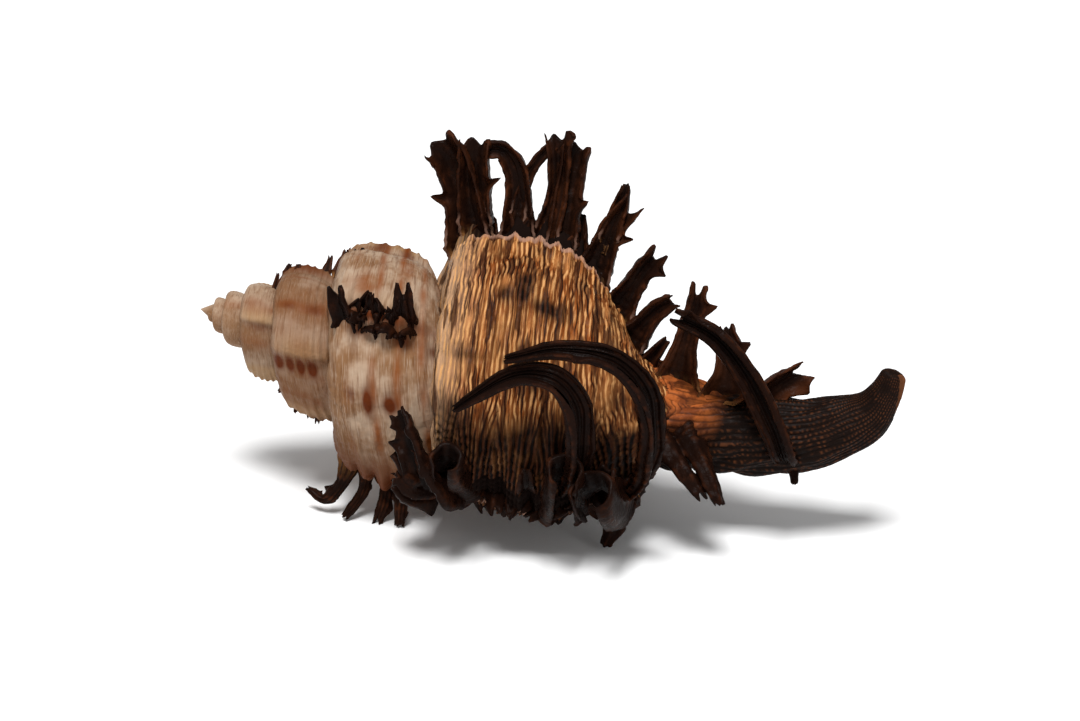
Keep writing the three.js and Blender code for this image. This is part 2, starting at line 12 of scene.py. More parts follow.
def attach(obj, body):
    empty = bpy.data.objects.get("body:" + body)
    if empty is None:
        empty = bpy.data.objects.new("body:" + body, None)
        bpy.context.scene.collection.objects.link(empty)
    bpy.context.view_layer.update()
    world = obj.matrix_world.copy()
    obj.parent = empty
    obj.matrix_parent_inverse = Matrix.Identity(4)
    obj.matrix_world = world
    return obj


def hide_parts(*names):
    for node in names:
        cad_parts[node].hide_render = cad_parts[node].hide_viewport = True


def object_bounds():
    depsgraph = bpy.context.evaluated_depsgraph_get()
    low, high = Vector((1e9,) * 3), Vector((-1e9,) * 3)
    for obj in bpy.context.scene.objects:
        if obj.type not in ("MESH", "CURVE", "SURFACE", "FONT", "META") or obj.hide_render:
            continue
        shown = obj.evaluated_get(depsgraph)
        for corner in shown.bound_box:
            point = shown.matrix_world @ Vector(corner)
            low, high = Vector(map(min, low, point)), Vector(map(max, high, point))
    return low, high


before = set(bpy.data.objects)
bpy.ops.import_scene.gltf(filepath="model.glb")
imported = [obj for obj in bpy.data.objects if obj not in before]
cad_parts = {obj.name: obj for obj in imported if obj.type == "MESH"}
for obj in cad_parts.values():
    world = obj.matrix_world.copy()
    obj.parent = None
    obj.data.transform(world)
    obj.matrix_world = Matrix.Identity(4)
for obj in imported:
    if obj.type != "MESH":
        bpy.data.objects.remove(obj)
cad_box = [list(corner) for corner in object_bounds()]

# How the shell lies, in degrees, and the camera in the shell's turned frame, in millimetres.
ROLL = 22
DIP = 11.3
TURN = 7.5
CAMERA_AIM = (48.57, -6.4, -7.33)
CAMERA_DISTANCE = 385.7
LENS = 90
SENSOR_WIDTH = 36
MILLIMETRE = 0.001
TAU = 2 * np.pi

# Studio, in metres: lamps as (name, place, energy, size), and the plain floor.
LIGHTS = [("key", (-0.15, -1.05, 2.3), 80, 0.8), ("fill", (1.6, -1.5, 0.9), 4, 1)]
LIGHT_AIM = (0, 0, 0.02)
WORLD_STRENGTH = 0.34
FLOOR_SIZE = 6
FLOOR_COLOUR = (0.93, 0.93, 0.93)

# Growth of the coil. Turn 0 is the lip and turn -1 lies one whole turn before it.
LIP_ANGLE = -88
FIRST_TURN = -6.2
APEX_SHIFT = -0.8
SUTURE_AT_MINUS_ONE = 24.4
SUTURE_GROWTH = 1.74
RADIUS_AT_MINUS_ONE = 16.7
HEIGHT_AT_MINUS_ONE = 21.5
RADIUS_GROWTH = 1.68
# Turn, suture, radius and height on the last turn, which the growth law hands over to at LAW_END.
LAST_TURN = [(-0.75, 28.2, 17.2, 25), (-0.5, 32.6, 18, 29), (-0.25, 35.8, 18.7, 31.5), (0, 38, 18.6, 33)]
LAW_END = (-1.2, -1)
# Section from the suture to the base, as share of the height and share of the radius. The spire's is
# squarer; one turns into the other between the two blend turns.
WHORL_PROFILE = [
    (0, 0.5), (0.03, 0.76), (0.08, 0.9), (0.2, 0.98), (0.42, 1),
    (0.6, 0.96), (0.75, 0.84), (0.88, 0.62), (1, 0.36), (1.25, 0.1),
]
SPIRE_PROFILE = [
    (0, 0.6), (0.03, 0.83), (0.08, 0.93), (0.2, 0.99), (0.42, 1.01),
    (0.6, 0.99), (0.75, 0.94), (0.88, 0.8), (1, 0.5), (1.25, 0.3),
]
PROFILE_BLEND = (-1.15, -0.85)
# The shoulder of the penultimate varix stands out squarely: turn, reach, share of the height, radius.
SHOULDER = (-0.99, 0.06, 0.3, 0.97)
# Extra radius of the first whorls, by turn.
EARLY_WIDENING = [(-6.2, 0.1), (-5.5, 0.6), (-4.5, 0.8), (-3.4, 0.55), (-2.7, 0)]
INNER_SHARE = 0.25
CORE_SHARE = 0.27
COLUMELLA_RADIUS = 5.4
COLUMELLA_END = 66

# Stretches of the coil: from turn, to turn, steps along, steps across.
WHORLS = [
    (-0.88, 0, 370, 232),
    (-1.76, -0.86, 230, 140),
    (-2.64, -1.74, 150, 90),
    (-3.52, -2.62, 90, 52),
    (-4.4, -3.5, 60, 34),
    (-5.28, -4.38, 44, 24),
    (FIRST_TURN, -5.26, 36, 18),
]

# Varices: turn of the crest, and height as a share of the whorl radius.
VARICES = [
    (-0.092, 0.09), (-0.481, 0.12), (-0.758, 0.12), (-0.989, 0.13), (-1.286, 0.1), (-1.53, 0.16),
    (-1.97, 0.2), (-2.19, 0.12), (-2.33, 0.07), (-2.51, 0.2), (-2.98, 0.3), (-3.25, 0.14),
    (-3.55, 0.14),
]
VARIX_RISE = 0.07
VARIX_FALL = 0.022
CREST_START = 0.08
CREST_SPAN = 0.9
SPIRE_CREST_POWER = 0.45
KNOB = {"along": 47, "angle": 40, "height": 1.4, "half_length": 4, "half_angle": 15}

# Aperture: turn, along, radius, half size along, half size across.
CAVITY = [
    (-0.72, 41, 9.5, 2.5, 2), (-0.55, 44, 10.5, 6, 3.8), (-0.35, 48, 11.2, 8.5, 4.9),
    (-0.15, 51, 11.5, 10, 5.4), (-0.03, 52.5, 11.6, 10.8, 5.6), (0.04, 53, 11.8, 11.6, 6),
]
# Siphonal canal: centre line and half width.
CANAL = [
    ((56, 0, -0.5), 5.5), ((65, 0, -1.6), 7), ((72.5, 0, -2.4), 6.3), ((79.5, -1, -2.2), 5.6),
    ((86.5, -1.6, -1.1), 5.1), ((92.8, -2.5, 1.3), 4.3), ((96.7, -3.6, 4), 3.4),
    ((98.3, -5, 7), 2.4), ((99.2, -6, 10.6), 1.6),
]
CANAL_DEPTH_SHARE = 0.85
# Way that the slit faces, by share of the canal's length.
SLIT_WAY = [(0.12, 0, 0.8, -0.6), (0.55, 0.1, 0.75, -0.65), (0.82, 0.9, 0.1, -0.3), (1, 1, -0.7, 0)]
SLIT_WIDTH = 1.3
SLIT_FLOOR = 0.55
SLIT_TOP = 1.5
SLIT_START = 0.12

# Cords that run along the whorl: broad ones, as shares of the height, and the number of fine ones.
BROAD_CORDS = [0.12, 0.24, 0.37, 0.48, 0.59, 0.68, 0.77, 0.91]
LAST_BROAD_CORDS = [0.06, 0.12, 0.19, 0.26, 0.33, 0.4, 0.46, 0.53, 0.6, 0.66, 0.73, 0.81, 0.9]
LAST_CORDS = 44
SPIRE_CORDS = 17
CANAL_CORDS = 38
# Where the cords of the last whorl draw together at the lip: along.
LIP_LOBES = (40, 44.6, 50.6, 56.8, 65.6)
# Coloured bands of the spire, as shares of the height, with their strength.
SPIRE_BANDS = [(0.2, 0.25), (0.41, 0.75), (0.58, 0.9), (0.76, 0.75), (0.92, 0.7)]
# Points across the inner wall of each stretch of the coil.
INNER_POINTS = 8
# Sections reach past the base on the last whorl, and crowd towards the suture by this power.
LAST_SECTION_END = 1.22
SECTION_CROWDING = 1.12
# Noises as (strength, size in millimetres, seed), by what they shape.
CORD_WAVES = [(0.42, 6, 1), (0.3, 2.2, 2), (0.14, 1.1, 6)]
CRINKLE = [(0.15, 1.4, 4), (0.22, 4, 5), (0.1, 0.7, 7)]
FLAKES = [(0.3, 1.3, 42), (0.15, 0.55, 43)]
SPINE_FLAKES = 0.35
CANAL_WAVES = [(0.4, 4, 60), (0.2, 1.6, 63)]
# Lobes of the old lips: width of one in millimetres, and how far they reach in turns.
LOBE_PITCH = 3.1
LOBE_REACH = 0.009
# Pleats of a varix between its fronds: reach in turns before its crest and after it, share of a frond's
# width, and the rise at a frond and the fall between two as shares of the varix.
PLEATS = {"before": 0.05, "before_last": 0.075, "after": 0.03, "width": 0.26, "rise": 1.3, "fall": 0.65}
# Stretches of turns where the last whorl turns into its lip, by what happens there.
CORDS_DRAW = (-0.23, -0.1)
CORDS_DOUBLE = (-0.21, -0.15)
RIBS_RISE = (-0.2, -0.13)
# Where the lip darkens is partly the shell's own dark colour and partly painted shade.
LIP_DARKENS = (-0.225, -0.155)
# How deep the body sinks under the canal, and over what reach the two blend, in millimetres.
CANAL_SINK = 0.7
CANAL_BLEND = 2.2
# Depth of a frond's root under its first point, in millimetres.
ROOT_DEPTH = 3.5
# Fine grain of the materials, as bump: depth in metres, and shares of the middle and the fine noise.
GRAIN_DEPTH = 0.0004
GRAIN_SHARES = (0.5, 0.4)
NOISE_ROUGHNESS = 0.55

# Brown marks on the spire: turn, share, half size in turns, half size in shares, strength.
SPIRE_MARKS = [
    (-1.165, 0.24, 0.012, 0.035, 0.8), (-1.158, 0.36, 0.022, 0.04, 1.5), (-1.158, 0.52, 0.016, 0.055, 1.4),
    (-1.283, 0.42, 0.014, 0.5, 1), (-1.262, 0.3, 0.012, 0.1, 0.9), (-1.258, 0.62, 0.014, 0.1, 0.9),
    (-1.25, 0.86, 0.012, 0.06, 0.9), (-1.52, 0.35, 0.03, 0.08, 0.9), (-1.5, 0.6, 0.03, 0.07, 0.8),
    (-1.53, 0.5, 0.012, 0.5, 0.6), (-1.005, 0.5, 0.035, 0.9, 0.9), (-2.15, 0.15, 0.02, 0.065, 1.8),
    (-2.152, 0.3, 0.021, 0.055, 1.6), (-2.15, 0.43, 0.022, 0.05, 1.8), (-2.148, 0.57, 0.023, 0.06, 1.7),
    (-2.3, 0.25, 0.01, 0.1, 0.6), (-2.3, 0.6, 0.014, 0.12, 0.7), (-2.5, 0.4, 0.022, 0.5, 0.9),
    (-1.95, 0.6, 0.03, 0.4, 1), (-3.22, 0.5, 0.02, 0.3, 0.6), (-2.95, 0.5, 0.02, 0.4, 0.7),
]
# Orange stains on the first whorls, in the same terms.
SPIRE_STAINS = [
    (-2.2, 0.5, 0.35, 0.8, 0.35), (-2.305, 0.4, 0.02, 0.5, 1), (-2.33, 0.8, 0.03, 0.12, 0.8),
    (-2.19, 0.85, 0.05, 0.1, 0.5), (-2.42, 0.3, 0.012, 0.5, 0.6), (-2.05, 0.5, 0.04, 0.6, 0.6),
    (-2.12, 0.8, 0.03, 0.2, 0.9),
    (-3.3, 0.5, 0.035, 0.5, 0.8), (-3.15, 0.4, 0.03, 0.5, 0.6), (-4.31, 0.5, 0.03, 0.6, 0.6),
    (-3.42, 0.9, 0.05, 0.1, 0.8), (-1.33, 0.3, 0.03, 0.12, 0.7), (-1.4, 0.62, 0.04, 0.05, 0.6),
]
# Dark patches on the body whorl: along, angle, half length, half angle, strength.
BODY_PATCHES = [
    (47.6, 36, 1.3, 8, 1.5), (45.2, 32, 1.6, 4, 1.1), (51.4, 30, 2.6, 4, 1.3), (51.5, -3, 4, 7, 0.9),
    (58, 40, 0.9, 9, 0.6), (61, 22, 1, 14, 0.6), (42, 4, 2.8, 4, 0.7), (63, -5, 2, 12, 0.7),
    (42.2, 58, 0.8, 9, 0.6), (48, 66, 1.2, 5, 0.5), (45.3, 12, 0.8, 10, 0.4), (65.5, 8, 1.2, 12, 0.6),
    (54.5, 52, 0.7, 10, 0.6), (56.5, 14, 2.6, 4, 0.4), (50, 10, 3.4, 4, 0.35), (60.5, 50, 1.6, 6, 0.5),
    (43.6, 44, 1.8, 5, 0.35), (53, 68, 1.4, 5, 0.5), (58.5, 62, 1.2, 6, 0.45), (47.5, 20, 0.7, 8, 0.5),
]

# Fronds, by the varix that they stand on: course as (along, angle, radius), width at the root, along
# the shaft and at the tip, tip as (across, reach) keys, and any spurs as (share of length, side, length).
TORN = [(-1, 0.5), (-0.6, -0.4), (-0.2, 0.5), (0.2, -0.3), (0.6, 0.6), (1, -0.4)]
FORK = [(-1, -0.4), (-0.7, 1.4), (-0.1, -1.3), (0.6, 1.2), (1, -0.2)]
NOTCH = [(-1, 0.9), (-0.3, -1.3), (0.2, -1), (1, 1.2)]
BLUNT = [(-1, -0.5), (0, 0.3), (1, -0.4)]
FRONDS = {}
FRONDS["top"] = [
    ([(36.8, 85, 16.5), (34.6, 85, 23), (31.8, 84, 28.4), (29.8, 82, 30.3)], (7.4, 4.6, 4.8), TORN,
     (0.55, -1, 1.8)),
    ([(37, 85, 20), (35.6, 84, 26), (35, 82, 31.2)], (5, 4, 4), TORN, (0.6, 1, 1.8)),
    ([(43.5, 86, 18), (42.3, 85, 25), (41, 84, 28.8), (38.8, 83, 30.9), (36.2, 82, 30.6)],
     (6.4, 3.2, 2), BLUNT),
    ([(47, 86, 19), (47.6, 86, 26), (47, 85, 31), (46.2, 85, 34)], (4.6, 2.4, 3.4), TORN, (0.97, 1, 1.2)),
    ([(42.6, 85, 22), (42.9, 85, 27.8), (44.4, 85, 31), (46, 85, 33)], (3, 1.4, 1.2), BLUNT),
    ([(49.8, 86, 18), (49.2, 86, 26), (49.2, 86, 31), (49.2, 85, 33.2)], (5, 3.4, 3.6), TORN,
     (0.55, 1, 1.4)),
    ([(52.3, 87, 18.5), (51.6, 86, 24)], (3.6, 1.8, 0.8), BLUNT),
    ([(55, 85, 16), (56.5, 84, 23), (58.6, 83, 26.6)], (6.4, 3.3, 3), NOTCH, (0.65, 1, 1.6)),
    ([(56.3, 84, 22.5), (57, 83, 26.5), (57.2, 82, 29.4)], (3.4, 2.1, 1.1), BLUNT),
    ([(59.6, 82, 12.5), (62, 81, 18), (63.6, 79, 20.6)], (6.4, 2.8, 2.4), FORK, (0.85, 1, 1.5)),
    ([(62.4, 76, 9), (65, 74, 13.3), (67.2, 72, 15.2)], (6.5, 2.6, 1.8), NOTCH),
    ([(65, 67, 6), (67, 66, 9.6)], (5, 1.9, 1), TORN),
    ([(69.6, 52, 3.5), (69.8, 66, 9.5), (70.3, 70, 14.4), (70.3, 70, 17.6)], (10, 3.2, 2.2), FORK,
     (0.85, 1, 1.6)),
    ([(77.2, 57, 3), (76.4, 76, 8), (75, 81, 12.2)], (12, 4.4, 1.8), TORN, (0.75, 1, 1.3)),
    ([(80, 45, 2), (83.2, 70, 5.8), (86.4, 76, 8.6)], (9.5, 4.4, 2.8), NOTCH, (0.85, 1, 1.2)),
]
FRONDS["last"] = [
    ([(56.6, -62, 17), (58.4, -42, 19.5), (59.2, -24, 22), (58, -6, 25), (55.4, 0, 26.8),
     (50.5, -1, 26), (42.6, -15, 25)], (1.9, 3.4, 0.9), BLUNT),
    ([(65.6, -60, 15.5), (67.4, -42, 17), (68.2, -20, 19), (66.8, 1, 24), (62.7, 8, 27.3),
     (55.8, 8, 28.3), (48.5, 3, 27)], (3.4, 3.3, 0.9), BLUNT, (0.78, -1, 1.2)),
    ([(64.2, -50, 16.5), (63.6, -38, 20.6), (63, -31, 21.6)], (7, 6, 5.6), BLUNT),
    ([(64.4, -47, 16.5), (64, -36, 19.6), (63.6, -30, 20.2)], (5, 3.6, 3.2), TORN),
    ([(41, -58, 17.5), (40.8, -51, 22.4), (38.6, -39, 22.6), (36.4, -30, 21), (34.7, -24, 20)],
     (9, 4.8, 2.6), TORN, (0.55, -1, 2), (0.8, -1, 1.6)),
    ([(39.8, -56, 18), (37.2, -46, 22.4), (34.4, -41, 21.6)], (6, 3, 1.4), TORN),
    ([(40.4, -64, 18), (37.4, -62, 22), (34.6, -57, 22)], (6, 3.2, 1.4), FORK, (0.6, 1, 1.2)),
    ([(42.6, -57, 18), (40.6, -44, 23), (38.4, -33, 23.4)], (6, 3, 1.8), TORN),
    ([(40.2, -58, 18.5), (37.6, -51, 23), (35.2, -46, 23.6)], (6, 3.4, 1.6), TORN),
    ([(44, -54, 17.5), (43, -38, 22.2), (42.9, -29, 23.6)], (7, 4, 4), BLUNT),
    ([(52, -56, 17), (53, -45, 21), (52.8, -36, 21.6)], (5, 2.6, 1.4), TORN),
    ([(57, -57, 17), (57.8, -38, 20.8), (57.9, -26, 22.2)], (7.5, 4.8, 4.4), BLUNT),
    ([(65.2, -77, 13), (64.8, -82, 18), (64, -84, 21.6)], (6.8, 4.2, 1.5), BLUNT),
    ([(55.4, -74, 15.5), (55.9, -79, 20.6)], (6.4, 4.6, 0.7), BLUNT),
    ([(45, -72, 16.5), (46.4, -78, 20.4)], (6, 4.4, 1), FORK),
    ([(39.7, -70, 16), (38.6, -76, 21)], (7, 4.6, 1), TORN),
    ([(51.6, -74, 16.5), (53, -80, 19.6)], (5, 3.6, 0.8), TORN),
    ([(69.4, -36, 8), (73, -42, 12), (76.6, -52, 14.8)], (6, 2.8, 1.3), FORK),
    ([(73, -32, 6), (76.2, -43, 11.5), (79.2, -53, 15.2)], (5.5, 2.6, 1.2), TORN),
    ([(86.5, -75, 3.5), (86.6, -35, 6.8), (84.7, -3, 8.4), (80.1, 30, 11.5), (74.2, 43, 15.6),
     (68.8, 45, 17.2)], (2.2, 2.8, 1.9), FORK, (0.95, 1, 1.2)),
    ([(87.3, -68, 3.5), (88.5, -75, 7.8)], (3.4, 1.6, 0.8), BLUNT),
]
FRONDS["back"] = [
    ([(31, 186, 12), (30, 193, 20), (29.5, 203, 22.5), (30, 210, 22)], (8, 3, 1.5), TORN),
    ([(36.3, 185, 15), (36, 194, 22.5), (36, 206, 24.5), (36.5, 214, 24)], (8, 3.5, 2), TORN,
     (0.6, -1, 1.6)),
    ([(41.5, 185, 15.5), (42.5, 194, 23), (43.5, 206, 25.2), (44, 217, 23.9)], (8, 3.5, 2.4), FORK,
     (0.6, 1, 1.6)),
    ([(46.5, 185, 14), (48.5, 194, 22), (50.5, 206, 24), (51.5, 217, 22.5)], (8, 3.6, 2.6), TORN,
     (0.6, -1, 1.6)),
    ([(51, 186, 11), (54, 194, 19), (57, 206, 22.2), (59, 219, 21.2)], (7.5, 3.4, 2.4), FORK),
    ([(60, 190, 5), (63, 196, 11), (66, 205, 15), (67.5, 212, 15.5)], (7, 2.8, 1.4), TORN),
    ([(70, 195, 4), (73, 199, 9), (75.5, 207, 12)], (6, 2.6, 1.2), TORN),
]
FRONDS["penultimate"] = [
    ([(25.2, -91, 14.5), (24.3, -94, 21), (22, -97, 23.8), (19.4, -98, 22.8)], (7.4, 2, 0.9), FORK,
     (0.72, -1, 0.6)),
    ([(27.9, -91, 15.5), (27.6, -94, 21.5), (25.8, -94, 25.4)], (5.6, 1.7, 1.1), TORN),
    ([(30.8, -91, 15.5), (31.1, -94, 21.5), (30.6, -94, 25.2)], (5.2, 1.9, 1.3), FORK, (0.8, 1, 0.6)),
    ([(33.4, -89, 14.5), (33.8, -90, 21.5), (34, -92, 24.8)], (5, 2, 1.4), TORN, (0.7, -1, 0.6)),
]
FRONDS["stub"] = [
    ([(24.5, 4, 12.5), (23.3, 14, 16), (22.2, 21, 17.6)], (4.8, 2.8, 2.4), FORK),
    ([(27.2, 6, 13), (27, 15, 16.6)], (4.6, 3.2, 2.4), TORN),
    ([(29.5, 8, 12.8), (29.5, 17, 16.8)], (4.6, 3, 2.2), TORN),
    ([(31.6, 10, 11.5), (31.8, 20, 16.9), (31.2, 27, 18.7)], (5, 2.8, 2.2), FORK),
    ([(21.4, 83, 9), (20.6, 84, 12.6)], (3.6, 2.6, 2.4), TORN),
]
# Scales: small torn gutters that fill the varices: look, turn, first and last along, spacing, height,
# width, and lean as degrees for each millimetre of height.
SCALE_ROWS = [
    ("last", -0.08, 39, 70, 2.1, 2.4, 3.6, 0), ("last", -0.06, 39, 70, 2, 1.9, 3.6, -1.6),
    ("last", -0.035, 39.5, 69, 2.2, 1.4, 3.4, -2), ("last", -0.014, 40, 68, 2.6, 0.9, 3.2, -2),
    ("scale", -0.478, 36, 62, 2.4, 2, 2.8, 0), ("scale", -0.755, 31, 58, 2.6, 2, 2.8, 0.6),
    ("scale", -0.985, 24, 36, 2.2, 1.8, 2.4, 0), ("stub", -1.29, 24, 32.8, 1, 2.2, 2.8, 1.5),
    ("stub", -1.275, 24.4, 33.2, 1, 1.6, 3, -1.5), ("brown", -1.53, 15, 20, 2.2, 0.8, 2.2, 0),
    ("brown", -1.97, 13, 19, 2, 0.7, 1.8, 0), ("brown", -2.5, 9, 13, 1.6, 0.6, 1.5, 0),
]
# How each group looks: tan at the root (share of length), darkness of the shaft, pale rim at the root,
# degrees that the gutter's sides roll in, ridges along it and their height, roughness of its rim, and
# points across.
FROND_LOOK = {
    "top": (0.24, 0.8, 1, 100, 4, 0.18, 0.28, 19), "last": (0.02, 1, 0, 90, 3, 0.2, 0.36, 13),
    "spine": (0.01, 1, 0, 100, 5, 0.34, 0.1, 35), "back": (0.3, 0.8, 0.4, 90, 4, 0.16, 0.3, 17),
    "penultimate": (0.6, 0.9, 0, 62, 5, 0.2, 0.26, 21), "stub": (0.02, 1, 0, 80, 2, 0.16, 0.34, 11),
    "tooth": (0.02, 0.9, 0, 60, 3, 0.2, 0.2, 17),
    "mouth": (0.02, 1, 0.1, 145, 4, 0.2, 0.22, 25), "scale": (0.5, 0.7, 0.3, 70, 2, 0.14, 0.3, 11),
    "canal": (0.35, 0.6, 0, 80, 4, 0.18, 0.2, 19), "brown": (0.3, 0.5, 0, 60, 2, 0.1, 0.2, 9),
}
# Fronds that don't look as the rest of their group does.
OTHER_LOOKS = {
    ("last", 0): "spine", ("last", 1): "spine", ("last", 19): "spine", ("last", 2): "mouth",
    ("last", 9): "mouth", ("last", 11): "mouth", ("last", 12): "tooth", ("top", 12): "canal",
    ("top", 13): "canal", ("top", 14): "canal",
}
STEPPED_VARICES = (-0.481, -0.092, -0.758)
GROUP_TURN = {"top": -0.481, "last": -0.092, "back": -0.758, "penultimate": -0.989, "stub": -1.286}
FROND_STATIONS_PER_MM = 2.4


def smooth(keys, x):
    """Smooth curve through (x, y) keys, with slopes taken across each key's neighbours."""
    keys = np.asarray(keys, float)
    key_x, key_y = keys[:, 0], keys[:, 1]
    count = len(keys)
    before = np.maximum(np.arange(count) - 1, 0)
    after = np.minimum(np.arange(count) + 1, count - 1)
    slope = (key_y[after] - key_y[before]) / (key_x[after] - key_x[before])
    at = np.clip(x, key_x[0], key_x[-1])
    i = np.clip(np.searchsorted(key_x, at) - 1, 0, count - 2)
    span = key_x[i + 1] - key_x[i]
    u = (at - key_x[i]) / span
    return ((1 + 2 * u) * (1 - u) ** 2 * key_y[i] + u * (1 - u) ** 2 * span * slope[i]
            + u * u * (3 - 2 * u) * key_y[i + 1] + u * u * (u - 1) * span * slope[i + 1])


def columns(rows, x):
    """Smooth curve through each column of a table, over its first column."""
    return [smooth([(row[0], row[k]) for row in rows], x) for k in range(1, len(rows[0]))]


def ramp(low, high, x):
    """0 below low, 1 above high, smooth between."""
    u = np.clip((x - low) / (high - low), 0, 1)
    return u * u * (3 - 2 * u)


def bump(x, middle, half):
    return np.exp(-((x - middle) / half) ** 2)


def noise(points, size, seed=0):
    """Smooth noise from -1 to 1 at points (..., 3), with features of about the given size."""
    q = np.asarray(points, float) / size + 31.7 * (seed + 1)
    cell = np.floor(q).astype(np.int64)
    f = q - cell
    f = f * f * (3 - 2 * f)

    def corner(offset):
        k = cell + offset
        h = k[..., 0] * 73856093 ^ k[..., 1] * 19349663 ^ k[..., 2] * 83492791 ^ (seed * 2654435)
        h = (h ^ (h >> 13)) * 1274126177 & 0x7FFFFFFF
        h = h ^ (h >> 16)
        return (h & 0xFFFF) / 32767.5 - 1

    total = 0
    for offset in np.ndindex(2, 2, 2):
        weight = np.prod([f[..., a] if offset[a] else 1 - f[..., a] for a in range(3)], axis=0)
        total = total + weight * corner(np.array(offset))
    return total


def layered(at, layers, total=0):
    """Adds noises to a total, each given as strength, size and seed."""
    for strength, size, seed in layers:
        total = total + strength * noise(at, size, seed)
    return total


def place(along, angle, radius):
    phi = np.radians(angle)
    return np.stack(np.broadcast_arrays(along, -radius * np.cos(phi), radius * np.sin(phi)), axis=-1)


def growth(turn):
    """Suture, radius and height of the whorl at a turn."""
    def spire(t):
        return (APEX_SHIFT + SUTURE_AT_MINUS_ONE * SUTURE_GROWTH ** (t + 1),
                RADIUS_AT_MINUS_ONE * RADIUS_GROWTH ** (t + 1) + smooth(EARLY_WIDENING, t),
                HEIGHT_AT_MINUS_ONE * RADIUS_GROWTH ** (t + 1))
    keys = [(t, *spire(t)) for t in LAW_END] + LAST_TURN
    return [np.where(np.asarray(turn) <= LAW_END[1], law, late)
            for law, late in zip(spire(np.asarray(turn, float)), columns(keys, turn))]


def section(turn, share):
    """Radius of the whorl's section, as a share of the whorl's radius."""
    blend = ramp(*PROFILE_BLEND, turn)
    radius = smooth(SPIRE_PROFILE, share) * (1 - blend) + smooth(WHORL_PROFILE, share) * blend
    at, reach, top, square = SHOULDER
    near = bump(turn, at, reach) * (1 - ramp(0.05, top, share))
    return radius + near * np.maximum(square - radius, 0)


def crest_shape(turn, share):
    """How the varices rise across the whorl; squarer on the spire."""
    arch = np.sin(np.pi * (CREST_START + CREST_SPAN * np.clip(share, 0, 1)))
    power = SPIRE_CREST_POWER + (1 - SPIRE_CREST_POWER) * ramp(*PROFILE_BLEND, turn)
    return arch ** power * ramp(1.1, 0.95, share)


def angle_of_turn(turn):
    return LIP_ANGLE - 360 * turn


def varix_relief(turn):
    relief = 0
    for crest, height in VARICES:
        away = turn - crest
        reach = np.where(away < 0, VARIX_RISE, VARIX_FALL)
        relief = relief + height * np.exp(-(away / reach) ** 2)
    return relief


def pleats(turn, along):
    """Multiplies the varix: it rises to the fronds and sinks between them."""
    factor = 1
    for group, crest in GROUP_TURN.items():
        before = PLEATS["before_last" if group == "last" else "before"]
        near = bump(turn, crest, np.where(turn < crest, before, PLEATS["after"]))
        ridge = 0
        for course, width, *_ in FRONDS[group]:
            ridge = np.maximum(ridge, bump(along, course[0][0], PLEATS["width"] * width[0]))
        factor = factor + near * (PLEATS["rise"] * ridge - PLEATS["fall"])
    return factor


def old_lobes(along, at):
    """Lobes of an old lip, from 0 between two lobes to 1 in the middle of one."""
    return np.abs(np.sin(np.pi * (along / LOBE_PITCH + 0.35 * noise(at, 5, 21)))) ** 0.7


def step_after(turn, along, at, size):
    """Groove on the growth side of a varix, and the rounded lobes where the next stretch starts."""
    lobes = old_lobes(along, at)
    relief = 0
    for crest in STEPPED_VARICES:
        relief = relief - 0.6 * bump(turn, crest + 0.02, 0.005)
        relief = relief + (0.5 + 0.8 * lobes) * bump(turn, crest + 0.04 + LOBE_REACH * lobes, 0.01)
        relief = relief + 1.2 * bump(turn, crest + 0.027 + LOBE_REACH * lobes, 0.003)
    return relief * size


def old_lip(turn, along, at):
    """Scalloped pale edge that the shell left behind at a varix, and painted shade in the groove above it,
    under the fronds.
    """
    scallop = LOBE_REACH * old_lobes(along, at)
    pale, dark = 0, 0
    for crest in STEPPED_VARICES:
        pale = pale + bump(turn, crest + 0.028 + scallop, 0.0024)
        dark = dark + ramp(-0.028, -0.012, turn - crest) * ramp(0.026, 0.022, turn - crest - scallop)
    return pale, dark


def spread(start, end, steps):
    """Turns from start to end, closer together at the varices."""
    fine = np.linspace(start, end, 2000)
    density = 1 + sum(1.2 * bump(fine, crest, 0.035) for crest, _ in VARICES)
    filled = np.r_[0, np.cumsum(density[1:])]
    return np.interp(np.linspace(0, filled[-1], steps + 1), filled, fine)


def smooth_max(a, b, reach):
    h = np.clip(0.5 + 0.5 * (a - b) / reach, 0, 1)
    return b + (a - b) * h + reach * h * (1 - h)


def canal_radius(along, angle):
    """Distance from the coil axis to the canal's surface in a direction."""
    x, y, z, halves = np.array([(*centre, half) for centre, half in CANAL[:5]]).T
    cy, cz = np.interp(along, x, y), np.interp(along, x, z)
    half = np.interp(along, x, halves) * ramp(50, 60, along)
    depth = np.maximum(half * CANAL_DEPTH_SHARE, 1e-3)
    half = np.maximum(half, 1e-3)
    dy, dz = -np.cos(np.radians(angle)), np.sin(np.radians(angle))
    a = (dy / depth) ** 2 + (dz / half) ** 2
    b = -2 * (dy * cy / depth ** 2 + dz * cz / half ** 2)
    c = (cy / depth) ** 2 + (cz / half) ** 2 - 1
    return np.maximum((-b + np.sqrt(np.maximum(b * b - 4 * a * c, 0))) / (2 * a), 0)


def fine_cords(phase):
    """Rounded cords with narrow grooves between, from 0 in a groove to 1 on a cord."""
    return np.sqrt(np.abs(np.sin(np.pi * phase)))


def patches(rows, u, v):
    """Strongest of several soft spots: rows give middle u, middle v, half u, half v and strength."""
    found = 0 * u + 0 * v
    for mid_u, mid_v, half_u, half_v, strength in rows:
        found = np.maximum(found, strength * bump(u, mid_u, half_u) * bump(v, mid_v, half_v))
    return found


